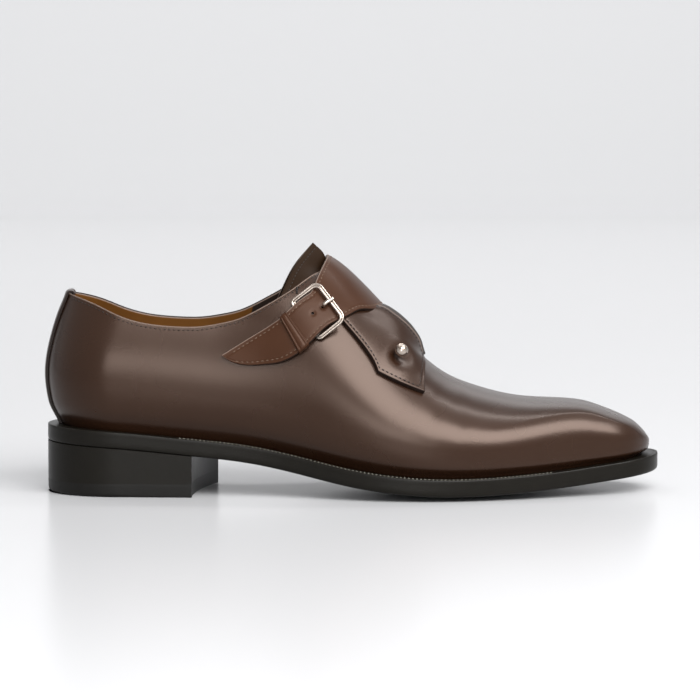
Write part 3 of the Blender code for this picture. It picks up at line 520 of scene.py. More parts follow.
upperSizes = {
    "wall": 2.0,
    # station, depth and half width in stations of each crease over the bend
    "creases": ((0.655, 0.13, 0.010), (0.683, 0.10, 0.009), (0.640, 0.07, 0.008)),
    "toeEdge": 0.9,  # how far the edge round the toe's plane stands out
    "shadedLining": 0.315,  # station from which the lining carries painted shade
    "tuck": 1.9,  # how far the leather is drawn in above the welt
    "tuckAcross": (1.55, 2.0),  # over which it comes in
    "overWelt": 0.05,  # of its lower edge
    "cutRound": 0.45,  # of its cut edges
    "bend": 0.67,  # station of the bend, where the rows are closest
}
# station and across of the edge round the toe's plane
chiselLine = ((0.74, 0.74), (0.82, 0.58), (0.90, 0.47), (0.955, 0.58), (1.0, 0.78))


def chiselAcross(station):  # where that edge runs
    return np.interp(station, *zip(*chiselLine))


def tucked(across):  # how far the leather is drawn in
    return upperSizes["tuck"] * smooth(*upperSizes["tuckAcross"], across)


# The last with its relief: each crease is a bell-shaped trough that wanders as a sine, with a
# low swell behind it. The toe's edge is a crest that falls away slowly above its line and
# steeply below. Above the welt the leather is drawn inward in plan.
def upperFace(station, across):
    station, across = np.broadcast_arrays(station, across)
    reach = np.abs(across)
    onBend = smooth(0.05, 0.3, reach) * (1 - smooth(0.7, 1.0, reach))
    onToe = smooth(0.70, 0.86, station) * (1 - smooth(0.95, 1.0, station))
    relief = np.zeros(station.shape)
    for at, depth, half in upperSizes["creases"]:
        wander = at + 0.016 * across + 0.010 * np.sin(5 * across + at * 90)
        relief -= depth * bump(wander, half, station) * onBend
        relief += 0.4 * depth * bump(wander + 1.8 * half, half, station) * onBend
    below = reach - chiselAcross(station)
    crest = np.where(below < 0, np.clip(1 + below / 0.5, 0, 1) ** 1.2,
                     np.clip(1 - below / 0.45, 0, 1) ** 3)
    relief += upperSizes["toeEdge"] * crest * onToe
    inPlan = unit(outward(station, across) * (1, 1, 0))
    return lifted(station, across, relief) - inPlan * tucked(reach)[..., None]


# Stations of the rows, from so many in each stretch: closing up where the rounds at the back
# and the toe end, and evenly spaced from the throat over the bend to the toe.
def upperStations(back, rear, bend, fore, toe):
    backShare = last["backRound"] / lastLength
    toeStart = 1 - last["toeRound"] / lastLength
    rearRows = last["throat"] - (last["throat"] - backShare) * np.linspace(1, 0, rear + 1) ** 1.25
    return np.concatenate([
        backShare * quarterRows(back + 1)[:-1],
        rearRows[:-1],
        np.linspace(last["throat"], upperSizes["bend"], bend + 1)[:-1],
        np.linspace(upperSizes["bend"], toeStart, fore + 1)[:-1],
        1 - (1 - toeStart) * quarterRows(toe + 1)[::-1],
    ])


# Both halves in rows of across, from the feather up to the collar or, in front of the throat,
# to the ridge, where they meet. The wall is given its thickness inward.
def makeUpper():
    station = upperStations(22, 60, 44, 40, 26)
    top = collarAcross(station)
    below = np.linspace(2, 1, 15)[:-1]
    above = 1 + (top[:, None] - 1) * np.linspace(0, 1, 46)
    across = np.concatenate([np.broadcast_to(below, (len(station), len(below))), above], 1)
    halves = [upperFace(station[:, None], side * across) for side in (-1, 1)]
    rows, columns = across.shape
    index = np.arange(rows * columns).reshape(rows, columns)
    faces = np.concatenate([gridFaces(index), gridFaces(index[:, ::-1] + rows * columns)])
    points = np.concatenate([half.reshape(-1, 3) for half in halves])
    points = points + (0, 0, upperSizes["overWelt"])
    cellStation = np.repeat((station[1:] + station[:-1]) / 2, columns - 1)
    # Inside cells in front of that station get the lining with painted shade.
    shadedCells = np.tile(np.where(cellStation > upperSizes["shadedLining"], 3, 0), 2)
    looks = [calf, lining, cutEdge, calf, shadedLining, cutEdge]  # face, inside and edge, twice; the second inside with painted shade
    obj = makePiece("upper_calf", points, faces, looks, shadedCells, sharp=50,
                    replaces=("upper",), slot="calf")
    wall = obj.modifiers.new("wall", "SOLIDIFY")
    wall.thickness = upperSizes["wall"] * 0.001
    wall.offset = -1
    wall.material_offset = 1
    wall.material_offset_rim = 2
    wall.use_even_offset = True
    wall.use_quality_normals = True
    edge = obj.modifiers.new("edge", "BEVEL")
    edge.width = upperSizes["cutRound"] * 0.001
    edge.segments = 2
    edge.limit_method = "ANGLE"
    edge.angle_limit = math.radians(55)


makeUpper()
print("upper made")


# Collar trim

trimSizes = {
    "beadRadius": 0.36,
    "beadSink": 0.25,  # of its middle under the face
    "beadRise": 0.1,
    "beadStart": 0.0015,  # station where it comes out from the back strip
    "beadEnd": 0.448,  # station where it meets the strap
    "stitch": (2.3, 1.5, 0.5),  # pitch, length, thickness
    "stitchStart": 0.012,  # station
    "stitchInset": 1.5,
    "barAt": 0.388,  # station of the bar tack
    "barReach": (0.3, 4.0),  # from the collar's edge down
    "barStitch": (0.9, 1.2, 1.0),
    "barLift": 0.15,  # over the face
}


# A round bead along an edge: a circle carried along the line of its middles.
def makeBead(name, centre, out, radius, look):
    along = unit(np.gradient(centre, axis=0))
    side = unit(np.cross(along, out))[:, None]
    turn = np.linspace(0, 2 * math.pi, 13)[:-1, None]
    loops = centre[:, None] + radius * (out[:, None] * np.cos(turn) + side * np.sin(turn))
    makeTube(name, loops, [look], sharp=80, slot="calf")


def makeCollarBeads():  # pale on the outer side, dark as painted shade on the inner side
    z = trimSizes
    station = upperStations(16, 120, 1, 1, 1)
    station = station[(station > z["beadStart"]) & (station < z["beadEnd"])]
    for which, side, look in (("outer", -1, cutEdge), ("inner", 1, shadeAndInkEdge)):
        a = side * collarAcross(station)
        centre = lifted(station, a, -z["beadSink"]) + (0, 0, z["beadRise"])
        makeBead("collar_bead_" + which, centre, outward(station, a), z["beadRadius"], look)


def belowCollar(station, side, distance):  # across of a line this far under the collar's edge
    a = collarAcross(station)
    _, over = slopes(station, side * a)
    return side * (a + distance / np.linalg.norm(over, axis=-1))


# A row of stitches along each side of the collar, and a bar tack across it at the throat.
def makeCollarStitches():
    z = trimSizes
    station = np.linspace(z["stitchStart"], z["beadEnd"], 260)
    down = np.linspace(*z["barReach"], 12)
    at = np.full(len(down), z["barAt"])
    for which, side in (("outer", -1.0), ("inner", 1.0)):
        a = belowCollar(station, side, z["stitchInset"])
        makeStitches("collar_stitches_" + which, lifted(station, a, 0.0), outward(station, a),
                     darkThread, *z["stitch"])
        a = belowCollar(at, side, down)
        makeStitches("collar_bar_" + which, lifted(at, a, z["barLift"]), outward(at, a),
                     darkThread, *z["barStitch"])


makeCollarBeads()
makeCollarStitches()
print("collar trimmed")


# Strap

# path share, station, across, rear half and front half as shares of the width, standoff and
# thickness as shares of theirs
strapPath = (
    (0.000, 0.310, -0.868, 0.45, 0.50, 0.18, 1.00),
    (0.086, 0.3445, -0.760, 0.31, 0.56, 0.45, 1.00),
    (0.164, 0.383, -0.675, 0.39, 0.58, 1.02, 1.00),
    (0.210, 0.4025, -0.612, 0.44, 0.51, 1.20, 1.00),
    (0.250, 0.4185, -0.549, 0.465, 0.465, 1.24, 1.00),
    (0.287, 0.4330, -0.493, 0.475, 0.465, 1.20, 1.00),
    (0.315, 0.4430, -0.443, 0.54, 0.52, 1.10, 1.00),
    (0.356, 0.4540, -0.365, 0.63, 0.60, 1.00, 1.00),
    (0.406, 0.4650, -0.262, 0.74, 0.78, 0.90, 1.00),
    (0.524, 0.4820, 0.000, 0.95, 0.86, 0.88, 1.00),
    (0.630, 0.4800, 0.290, 1.05, 0.88, 0.90, 0.90),
    (0.760, 0.4620, 0.580, 1.10, 0.95, 0.70, 0.75),
    (0.880, 0.4440, 0.860, 1.15, 1.15, 0.36, 0.65),
    (0.940, 0.4400, 1.150, 1.15, 1.25, 0.42, 0.60),
    (1.000, 0.4370, 1.450, 1.15, 1.30, 0.50, 0.60),
)
strapSizes = {
    "width": 20.0,
    "thickness": 2.0,
    "standoff": 3.0,  # of its underside over the last, where it crosses other layers
    "tipRound": 26.0,
    "edgeRound": 0.55,
    "stitch": (2.5, 1.5, 0.52),
    "stitchInset": 1.9,
    "stitchSink": 0.12,
    "stitchStart": (0.022, 0.0132),  # path share where the rear and the front row start
    "stitchEnd": 0.985,
    "groove": (0.16, 0.45),  # depth and half width of the groove under the stitches
    "buckleAt": 0.269,
    "prongHole": (2.9, 1.8),  # from the buckle's middle towards the ridge, and its width
    "spareHole": (-3.4, 1.5),
    "holeSink": 0.35,
}
pathStation, pathAcross, rearHalf, frontHalf, standoffShare, thicknessShare = (
    curveThrough(strapPath, k) for k in range(1, 7))


# Walks over the last from each point in its direction, in equal steps, and gives the
# stations and acrosses passed. Each step is the direction's part in the surface.
def march(station, across, direction, distance, steps):
    s, a = np.array(station, float), np.array(across, float)
    stride = np.asarray(distance, float) / steps
    passed = [(s, a)]
    for _ in range(steps):
        along, over = slopes(s, a)
        aa, ao, oo = ((u * v).sum(-1) for u, v in ((along, along), (along, over), (over, over)))
        ra, ro = (direction * along).sum(-1), (direction * over).sum(-1)
        det = np.maximum(aa * oo - ao * ao, 1e-9)
        ds, da = (ra * oo - ro * ao) / det, (ro * aa - ra * ao) / det
        tangent = along * ds[..., None] + over * da[..., None]
        length = np.maximum(np.linalg.norm(tangent, axis=-1), 1e-9)
        s, a = s + ds / length * stride, a + da / length * stride
        direction = tangent / length[..., None]
        passed.append((s, a))
    return np.array([p[0] for p in passed]), np.array([p[1] for p in passed])


def strapFrame(share):  # on the last: centre, along to the ridge, towards the toe, outward
    share = np.atleast_1d(np.asarray(share, float))
    s, a = pathStation(share), pathAcross(share)
    step = 0.004
    along = unit(skin(pathStation(share + step), pathAcross(share + step))
                 - skin(pathStation(share - step), pathAcross(share - step)))
    out = outward(s, a)
    return skin(s, a), along, unit(np.cross(along, out)), out


spaced = np.linspace(0, 1, 400)
strapLength = runLength(skin(pathStation(spaced), pathAcross(spaced)))[-1]


# Half widths. The end is a quarter ellipse under a straight rear edge.
def strapHalves(share):
    rear = strapSizes["width"] * rearHalf(share)
    front = strapSizes["width"] * frontHalf(share)
    left = np.clip(1 - share * strapLength / strapSizes["tipRound"], 0, 1)
    return rear, (front + rear) * np.sqrt(1 - left ** 2) - rear


# Stations and acrosses of a ribbon about the strap's path. Inset is each column's distance
# from the front edge, in millimetres, and each row's width is rear plus front.
def ribbon(share, rear, front, inset, steps=24):
    _, _, towardToe, _ = strapFrame(share)
    s, a = march(pathStation(share), pathAcross(share), -towardToe, rear, 12)
    width = rear + front
    s, a = march(s[-1], a[-1], towardToe, width, steps)
    at = np.clip(1 - inset / np.maximum(width, 1e-6)[:, None], 0, 1) * steps
    low = np.clip(at.astype(int), 0, steps - 1)
    part = at - low
    row = np.arange(len(share))[:, None]
    return (s[low, row] * (1 - part) + s[low + 1, row] * part,
            a[low, row] * (1 - part) + a[low + 1, row] * part)


def strapUnder(share):  # heights over the last of the strap's underside and face
    return strapSizes["standoff"] * standoffShare(share)


def strapOver(share):
    return strapUnder(share) + strapSizes["thickness"] * thicknessShare(share)


# Distances across a width with rounded borders, and how far the face drops at each: a
# quarter circle at both edges.
def roundedColumns(width, count, rounding, rows=5):
    arc = np.linspace(0, math.pi / 2, rows)
    near = np.minimum(rounding, width[:, None] / 2) * (1 - np.cos(arc))[None]
    share = np.linspace(0, 1, count)[1:-1]
    free = np.maximum(width[:, None] - 2 * near[:, -1:], 0)
    middle = near[:, -1:] + free * share
    inset = np.concatenate([near, middle, width[:, None] - near[:, ::-1]], 1)
    drop = rounding * (1 - np.sin(arc))
    drop = np.concatenate([drop, np.zeros(len(share)), drop[::-1]])
    return inset, np.broadcast_to(drop, inset.shape).copy()


def strapRelief(share, inset, width):  # bell-shaped: a groove along each edge, a dip at each hole
    edge = np.minimum(inset, width[:, None] - inset)
    depth, half = strapSizes["groove"]
    groove = -depth * bump(strapSizes["stitchInset"], half, edge)
    along = share[:, None] * strapLength
    holes = 0.0
    for at, size in (strapSizes["prongHole"], strapSizes["spareHole"]):
        middle = strapSizes["buckleAt"] * strapLength + at
        gap = np.hypot(along - middle, inset - width[:, None] / 2)
        holes = holes - strapSizes["holeSink"] * bump(size / 2, size * 0.45, gap)
    return groove + holes


# Face and underside are the strap's ribbon lifted by its two heights.
def makeStrap():
    tip = strapSizes["tipRound"] / strapLength
    share = np.concatenate([tip * quarterRows(34)[:-1] + 0.0003,
                            np.linspace(tip, 0.50, 110)[:-1], np.linspace(0.50, 1.0, 90)])
    rear, front = strapHalves(share)
    width = rear + front
    inset, drop = roundedColumns(width, 32, strapSizes["edgeRound"])
    s, a = ribbon(share, rear, front, inset)
    low = strapUnder(share)[:, None] + 0.15
    high = strapOver(share)[:, None] + strapRelief(share, inset, width) - drop
    # Rear edge pale; tip, end and front edge dark as painted shade where they face away from the
    # light.
    obj = makeSlab("strap_calf", lifted(s, a, high), lifted(s, a, low),
                   [strapCalf, cutEdge, shadeAndInkEdge], rimLooks=(2, 2, 2, 1), edgeCells=(2, 4),
                   replaces=("strap",), slot="calf", sharp=50)
    punch(obj, "prong_hole", *strapSizes["prongHole"], -1.0)
    punch(obj, "spare_hole", *strapSizes["spareHole"], strapUnder(strapSizes["buckleAt"]) + 0.3)


# Cuts a round hole through a piece along the buckle's outward line, from a starting height.
def punch(obj, name, at, size, start):
    ring = np.linspace(0, 2 * math.pi, 25)[:-1]
    circle = np.stack([at + size / 2 * np.cos(ring), size / 2 * np.sin(ring), np.zeros(24)], -1)
    loops = np.stack([circle + (0, 0, level) for level in (start, 5.0, 9.0)])
    tool = makeTube(name, buckleSpace(loops), [shadeAndInkEdge])
    cut = obj.modifiers.new(name, "BOOLEAN")
    cut.operation = "DIFFERENCE"
    cut.object = tool
    cut.solver = "EXACT"
    bpy.context.view_layer.update()
    shown = obj.evaluated_get(bpy.context.evaluated_depsgraph_get())
    solid = bpy.data.meshes.new_from_object(shown)
    obj.modifiers.remove(cut)
    bpy.data.objects.remove(tool)
    solid.set_sharp_from_angle(angle=math.radians(50))
    obj.data = solid


# Points in the buckle's own axes: along the strap to the ridge, towards the heel, outward.
def buckleSpace(points):
    centre, along, front, out = (v[0] for v in strapFrame(strapSizes["buckleAt"]))
    return centre + points[..., :1] * along - points[..., 1:2] * front + points[..., 2:] * out


def strapStitchLine(shares, fromFront):  # a row at the stitch inset from one edge
    rear, front = strapHalves(shares)
    width = rear + front
    inset = np.full((len(shares), 1), strapSizes["stitchInset"])
    if not fromFront:
        inset = width[:, None] - inset
    s, a = ribbon(shares, rear, front, inset)
    high = strapOver(shares)[:, None] - strapSizes["stitchSink"]
    return lifted(s, a, high)[:, 0], outward(s, a)[:, 0]


def makeStrapStitches():  # one row along each edge of the strap
    for which, start in zip(("rear", "front"), strapSizes["stitchStart"]):
        shares = np.linspace(start, strapSizes["stitchEnd"], 300)
        line, normal = strapStitchLine(shares, which == "front")
        makeStitches("strap_stitches_" + which, line, normal, brownThread, *strapSizes["stitch"])


makeStrap()
makeStrapStitches()
print("strap made")


# Keeper and carrier

keeperSizes = {
    "at": 0.182,  # path share of the strap
    "width": 5.0,
    "overhang": 0.5,  # past each edge of the strap
    "clearance": 0.3,
    "crown": 1.1,  # of its face over the strap
    "sink": 1.0,  # of its underside
    "corner": 1.6,  # reach of its rounded corners
    "cornerDrop": (1.3, 1.1),  # above and below the strap
    "groove": (0.42, 0.15, 0.52),  # depth, half width, and place from its middle to its edge
}
carrierSizes = {
    "beforeBuckle": 9.3,  # from its end to the buckle's middle
    "width": 0.76,  # share of the strap's
    "top": 1.5,
    "under": 0.45,
    "edgeRound": 0.4,
}


# A loop carried along the strap: over its face and back under it, crowned as a flat arch
# across the loop's own width, with two bell-shaped grooves and rounded corners.
def makeKeeper():
    z = keeperSizes
    away = np.linspace(-1, 1, 15)
    share = z["at"] + away * (z["width"] / 2 / strapLength)
    rear, front = strapHalves(share)
    width = rear + front + 2 * z["overhang"]
    inset, _ = roundedColumns(width, 22, 1.0)
    s, a = ribbon(share, rear + z["overhang"], front + z["overhang"], inset)
    arch = np.sqrt(1 - np.clip(np.abs(away) * 1.15 - 0.15, 0, 1) ** 6)[:, None]
    corner = borderDrop(np.minimum(inset, width[:, None] - inset), z["corner"])
    dropOver, dropUnder = (drop * corner for drop in z["cornerDrop"])
    depth, half, at = z["groove"]
    crown = z["crown"] - depth * bump(0, half, np.abs(away)[:, None] - at)
    over = strapOver(share)[:, None] + z["clearance"]
    under = strapUnder(share)[:, None] - z["clearance"]
    outerTop = lifted(s, a, over + crown * arch - dropOver)
    outerLow = lifted(s, a, under - z["sink"] * arch + dropUnder)
    innerTop = lifted(s, a, over - 0.05 - dropOver)
    innerLow = lifted(s, a, under + 0.1 + dropUnder)
    outer = np.concatenate([outerTop, outerLow[:, ::-1]], 1)
    inner = np.concatenate([innerTop, innerLow[:, ::-1]], 1)
    makeTube("keeper_loop", np.concatenate([outer, inner[::-1]]), [strapCalf], ringed=True,
             replaces=("strap_keeper",), slot="calf", sharp=60)


# A narrower ribbon on the strap's path, from behind the keeper to the buckle's hinge.
def makeCarrier():
    z = carrierSizes
    start = keeperSizes["at"] - keeperSizes["width"] / strapLength
    end = strapSizes["buckleAt"] - z["beforeBuckle"] / strapLength
    share = np.linspace(start, end, 24)
    half = np.full(len(share), strapSizes["width"] * z["width"] / 2)
    inset, drop = roundedColumns(2 * half, 12, z["edgeRound"])
    s, a = ribbon(share, half, half, inset)
    makeSlab("buckle_tab", lifted(s, a, z["top"] - drop), lifted(s, a, z["under"]),
             [strapCalf, cutEdge], replaces=("buckle_carrier",), slot="calf")


makeKeeper()
makeCarrier()
print("keeper made")


# Buckle

buckleSizes = {
    "length": 14.5,  # between the middles of its bars
    "width": 23.0,
    "cornerRadius": (3.4, 1.4),  # at the bar and at the hinge
    "barWidth": 2.3,
    "barHeight": 1.8,
    "groove": (0.45, 0.34),  # depth and half width, along its upper face
    "hingeLift": 1.45,
    "barLift": 7.0,
    "prong": 1.7,
    "prongHinge": 2.3,  # from the hinge bar's middle to the prong's start
    "prongRest": 1.5,  # its height where it starts, over the buckle's zero
}


# The frame is a closed profile carried round a rounded rectangle. The profile is a
# superellipse with a groove pressed along its upper face, which leaves two ridges.
def makeBuckleFrame():
    b = buckleSizes
    corner = np.linspace(0, math.pi / 2, 13)
    path, out = [], []
    for sx, sy, start in ((1, 1, 0), (-1, 1, 1), (-1, -1, 2), (1, -1, 3)):
        r = b["cornerRadius"][0 if sx > 0 else 1]
        angle = corner + start * math.pi / 2
        path.append(np.stack([sx * (b["length"] / 2 - r) + r * np.cos(angle),
                              sy * (b["width"] / 2 - r) + r * np.sin(angle)], -1))
        out.append(np.stack([np.cos(angle), np.sin(angle)], -1))
    path, out = np.concatenate(path), np.concatenate(out)
    slope = (b["barLift"] - b["hingeLift"]) / b["length"]
    turn = np.linspace(0, 2 * math.pi, 41)[:-1]
    wide = np.sign(np.cos(turn)) * np.abs(np.cos(turn)) ** 0.75 * b["barWidth"] / 2
    tall = np.sign(np.sin(turn)) * np.abs(np.sin(turn)) ** 0.75 * b["barHeight"] / 2
    depth, half = b["groove"]
    tall = tall - np.where(tall > 0, depth * bump(0, half, wide), 0)
    flat = path[:, None] + out[:, None] * wide[None, :, None]
    z = b["hingeLift"] + slope * (flat[..., 0] + b["length"] / 2) + tall
    loops = np.concatenate([flat, z[..., None]], -1)
    makeTube("buckle_ring", buckleSpace(loops), [nickel], ringed=True,
             replaces=("buckle_frame",), slot="nickel", sharp=70)


# The prong is a round rod that thins to its end, carried along a bent line: out of the
# hinge, up through the hole and over the bar.
def makeProng():
    b = buckleSizes
    hole = strapSizes["prongHole"][0]
    bar = b["length"] / 2
    hinge = b["prongHinge"] - bar
    under = b["prongRest"]
    over = b["barLift"] + (b["barHeight"] + b["prong"]) / 2 - 0.1
    route = ((0.0, hinge, under), (1.0, hole - 2.6, under), (2.0, hole - 1.1, under + 0.5),
             (3.0, hole - 0.4, under + 1.8), (4.0, hole, 4.0), (5.0, hole + 0.3, over - 1.6),
             (6.0, hole + 1.1, over - 0.3), (7.0, bar, over), (8.0, bar + 1.6, over - 0.25))
    step = np.linspace(0, 8, 73)
    x, z = curveThrough(route, 1)(step), curveThrough(route, 2)(step)
    tangent = unit(np.stack([np.gradient(x), np.zeros(73), np.gradient(z)], -1))
    side = np.array((0.0, 1.0, 0.0))
    up = np.cross(tangent, side) * -1
    pastEnd = np.clip((step - 7.6) / 0.42, 0, None)
    radius = b["prong"] / 2 * np.sqrt(np.clip(1 - pastEnd ** 2, 0.02, 1))
    turn = np.linspace(0, 2 * math.pi, 25)[:-1]
    centre = np.stack([x, np.zeros(73), z], -1)
    loops = (centre[:, None] + (radius[:, None] * np.cos(turn))[..., None] * side
             + (radius[:, None] * 0.85 * np.sin(turn))[..., None] * up[:, None])
    makeTube("buckle_pin", buckleSpace(loops), [nickel],
             replaces=("buckle_prong",), slot="nickel", sharp=70)


makeBuckleFrame()
makeProng()
print("buckle made")


# Flap, leaf and stud

# The flap's upper edge, its lower edge up to the corner, and from there to the point:
# row, station and across
flapUpper = (
    (0, 0.470, -0.300),
    (1, 0.488, -0.225),
    (2, 0.507, -0.172),
    (3, 0.525, -0.155),
    (4, 0.541, -0.158),
    (5, 0.556, -0.152),
    (6, 0.571, -0.142),
    (7, 0.585, -0.132),
    (8, 0.598, -0.132),
    (9, 0.611, -0.152),
)
flapLower = (
    (0, 0.458, -0.470),
    (1, 0.4715, -0.488),
    (2, 0.491, -0.505),
    (3, 0.512, -0.528),
    (4, 0.529, -0.560),
    (5, 0.539, -0.600),
)
flapPoint = (
    (5, 0.539, -0.600),
    (6, 0.558, -0.588),
    (7, 0.577, -0.575),
    (8, 0.598, -0.561),
    (9, 0.6185, -0.548),
)
flapSizes = {
    "rest": 2.5,  # height over the last, away from the padding
    "under": 0.35,  # height of its underside, and the leaf's
    "edgeRound": 0.5,
    "stitch": (2.3, 1.6, 0.7),
    "stitchInset": 1.7,
    "stitchSink": 0.1,
    "groove": (0.14, 0.4),
    "rowPitch": 3.75,  # from row to row near the front edge
    "beadRows": (1.2, 8.6),
    "beadRadius": 0.42,
    "beadSink": 0.3,
    "studAt": (0.5675, -0.415),  # station and across
    "dimple": 1.3,
}
padSizes = {
    "broadRise": 5.4,  # away from the ridge
    "broadStations": (0.490, 0.560, 0.645),  # where the dome starts, is full and ends
    "front": 0.6175,
    "sweep": 0.33,  # how far its rows bow back, away from the ridge
}
# station at the ridge, rise of the padding there
padLine = (
    (0.500, 0.0),
    (0.510, 0.2),
    (0.520, 1.2),
    (0.530, 3.7),
    (0.540, 5.1),
    (0.550, 5.9),
    (0.560, 6.3),
    (0.570, 6.4),
    (0.580, 6.0),
    (0.590, 5.3),
    (0.600, 3.8),
    (0.610, 1.5),
    (0.6175, 0.0),
)
leafSizes = {
    "rest": 1.6,
    "start": 0.500,  # station of its rear edge
    "length": 0.102,  # in stations
    "lap": 0.022,  # of its outer edge in from the flap's upper edge
    "innerEdge": 0.40,  # across
    "width": 30.0,
    "edgeRound": 0.5,
    "setBack": 0.003,  # of its front edge behind the padding's
}
studSizes = {
    "axis": (0.12, -0.60, 0.79),
    "ball": 3.3,  # its radius
    "middle": 3.7,  # of the ball over the foot
    "neck": 0.9,
    "sink": 0.2,
    "cap": 0.96,  # share of the ball's radius
}
padRise = curveThrough(padLine, 1)


# How far the padding stands over the rest height: the ridge's line near the ridge, and a
# broader dome away from it, both fading to the sides.
def padHeight(station, across):
    reach = np.abs(across)
    near = np.maximum(padRise(station + padSizes["sweep"] * across ** 2), 0)
    start, full, end = padSizes["broadStations"]
    broad = padSizes["broadRise"] * smooth(start, full, station) * (1 - smooth(full, end, station))
    mixed = smooth(0.10, 0.30, reach)
    return (near * (1 - mixed) + broad * mixed) * (1 - smooth(0.12, 0.62, reach))


def flapRows(rows):  # stations and acrosses of both edges at each row
    top = [curveThrough(flapUpper, k)(rows) for k in (1, 2)]
    low = [np.where(rows <= 5, curveThrough(flapLower, k)(rows), curveThrough(flapPoint, k)(rows))
           for k in (1, 2)]
    return top, low


def flapAt(rows, share):  # station and across of a point on the flap
    (ts, ta), (ls, la) = flapRows(rows)
    return ts + (ls - ts) * share, ta + (la - ta) * share


def flapLength(rows):  # from edge to edge at each row
    top, low = flapRows(rows)
    return np.linalg.norm(skin(*top) - skin(*low), axis=-1)


def flapHeight(s, a):  # with a bell-shaped hollow round the stud and a low swell about that
    stud = skin(*(np.array([v]) for v in flapSizes["studAt"]))[0]
    gap = np.linalg.norm(skin(s, a) - stud, axis=-1)
    dimple = flapSizes["dimple"] * (1.25 * bump(0, 4.2, gap) - 0.25 * bump(8.0, 3.5, gap))
    return flapSizes["rest"] + padHeight(s, a) - dimple


# The flap is ruled between its two edges and lifted over the padding. Its borders come down
# as quarter circles, and a shallow bell-shaped groove runs under the stitches.
def makeFlap():
    z = flapSizes
    rows = np.concatenate([np.linspace(0, 5, 61)[:-1], np.linspace(5, 9, 60)])
    length = flapLength(rows)
    inset, drop = roundedColumns(length, 44, z["edgeRound"])
    s, a = flapAt(rows[:, None], inset / length[:, None])
    height = flapHeight(s, a)
    face = lifted(s, a, height)
    fromEnd = np.linalg.norm(face - face[-1:], axis=-1)
    endDrop = z["edgeRound"] * borderDrop(fromEnd, z["edgeRound"])
    border = np.minimum(np.minimum(inset, length[:, None] - inset), fromEnd)
    depth, half = z["groove"]
    groove = depth * bump(z["stitchInset"], half, border)
    top = lifted(s, a, height - np.maximum(drop, endDrop) - groove)
    # Upper edge pale; lower edge, rear end and point dark as painted shade where they face away
    # from the light.
    makeSlab("flap_calf", top, lifted(s, a, z["under"]), [calf, cutEdge, shadeAndInkEdge],
             rimLooks=(2, 2, 1, 2), edgeCells=(4, 2),
             replaces=("stud_flap",), slot="calf", sharp=50)


def makeFlapStitches():  # along the lower and the upper edge, and between them in front
    z = flapSizes
    inset = z["stitchInset"]
    frontRow = 9 - inset / z["rowPitch"]
    low, high = np.linspace(1.0, frontRow, 90), np.linspace(1.5, frontRow, 70)
    frontLength = flapLength(np.array([9.0]))[0]
    front = np.linspace(inset, frontLength - inset, 60) / frontLength
    lines = {
        "flap_stitches_lower": flapAt(low, 1 - inset / flapLength(low)),
        "flap_stitches_upper": flapAt(high, inset / flapLength(high)),
        "flap_stitches_front": flapAt(np.full(60, frontRow), front),
    }
    for name, (s, a) in lines.items():
        line = lifted(s, a, flapHeight(s, a) - z["stitchSink"])
        makeStitches(name, line, outward(s, a), darkThread, *z["stitch"])


def makeFlapBead():  # the light edge along the flap's upper side
    z = flapSizes
    (s, a), _ = flapRows(np.linspace(*z["beadRows"], 120))
    line = lifted(s, a, flapHeight(s, a) - z["beadSink"])
    makeBead("flap_bead", line, outward(s, a), z["beadRadius"], cutEdge)


# The leaf runs from under the flap's upper edge over the ridge, lifted over the same padding.
# Its front edge follows the padding's, which bows back by the square of across.
def makeLeaf():
    z = leafSizes
    share = np.linspace(0, 1, 90)
    topStation, topAcross = flapRows(np.linspace(0, 9, 200))[0]
    outer = np.interp(z["start"] + z["length"] * share, topStation, topAcross) + z["lap"]
    inset, drop = roundedColumns(np.full(90, z["width"]), 40, z["edgeRound"])
    a = outer[:, None] + (z["innerEdge"] - outer)[:, None] * inset / z["width"]
    front = padSizes["front"] - z["setBack"] - padSizes["sweep"] * a ** 2
    s = z["start"] + (front - z["start"]) * share[:, None]
    height = z["rest"] + padHeight(s, a)
    makeSlab("leaf_calf", lifted(s, a, height - drop), lifted(s, a, flapSizes["under"]),
             [waxedCalf, shadeAndInkEdge], replaces=("inner_leaf",), slot="waxed_calf", sharp=60)


# The stud is one profile turned about its axis: foot, neck, ball, a cut groove and a cap.
def makeStud():
    z = studSizes
    axis = np.array(z["axis"]) / np.linalg.norm(z["axis"])
    s, a = (np.array([v]) for v in flapSizes["studAt"])
    foot = lifted(s, a, flapSizes["rest"] + padHeight(s, a))[0] - axis * z["sink"]
    ball, middle, neck = z["ball"], z["middle"], z["neck"]
    cap = ball * z["cap"]
    low = np.radians(np.linspace(-66, 49, 28))
    high = np.radians(np.linspace(57, 90, 14))
    profile = np.concatenate([
        [(0.0, 0.0), (neck, 0.0), (neck, 0.7)],
        np.stack([ball * np.cos(low), middle + ball * np.sin(low)], -1),
        [(1.75, middle + 2.2), (1.72, middle + 2.45)],
        np.stack([cap * np.cos(high), middle + 0.12 + cap * np.sin(high)], -1),
    ])
    across = unit(np.cross(axis, (1.0, 0.0, 0.0)))
    third = np.cross(axis, across)
    turn = np.linspace(0, 2 * math.pi, 49)[:-1]
    loops = (foot + profile[:, None, 1:] * axis
             + (profile[:, None, 0] * np.cos(turn))[..., None] * across
             + (profile[:, None, 0] * np.sin(turn))[..., None] * third)
    makeTube("stud_ball", loops, [nickel], replaces=("ball_stud",), slot="nickel", sharp=45)


makeLeaf()
makeFlap()
makeFlapStitches()
makeFlapBead()
makeStud()
print("flap made")


# Back strip and tongue

stripSizes = {
    "width": 12.0,
    "thickness": 1.3,
    "foldThickness": 0.9,
    "startRise": 0.6,  # above the welt
    "foldRise": 63.6,  # where it starts to fold over the collar
    "foldDepth": 6.0,  # how far it reaches down inside
    "standoff": 0.15,
    "edgeThinning": (0.85, 0.16),  # share of the thickness left at its edges, over this width
}


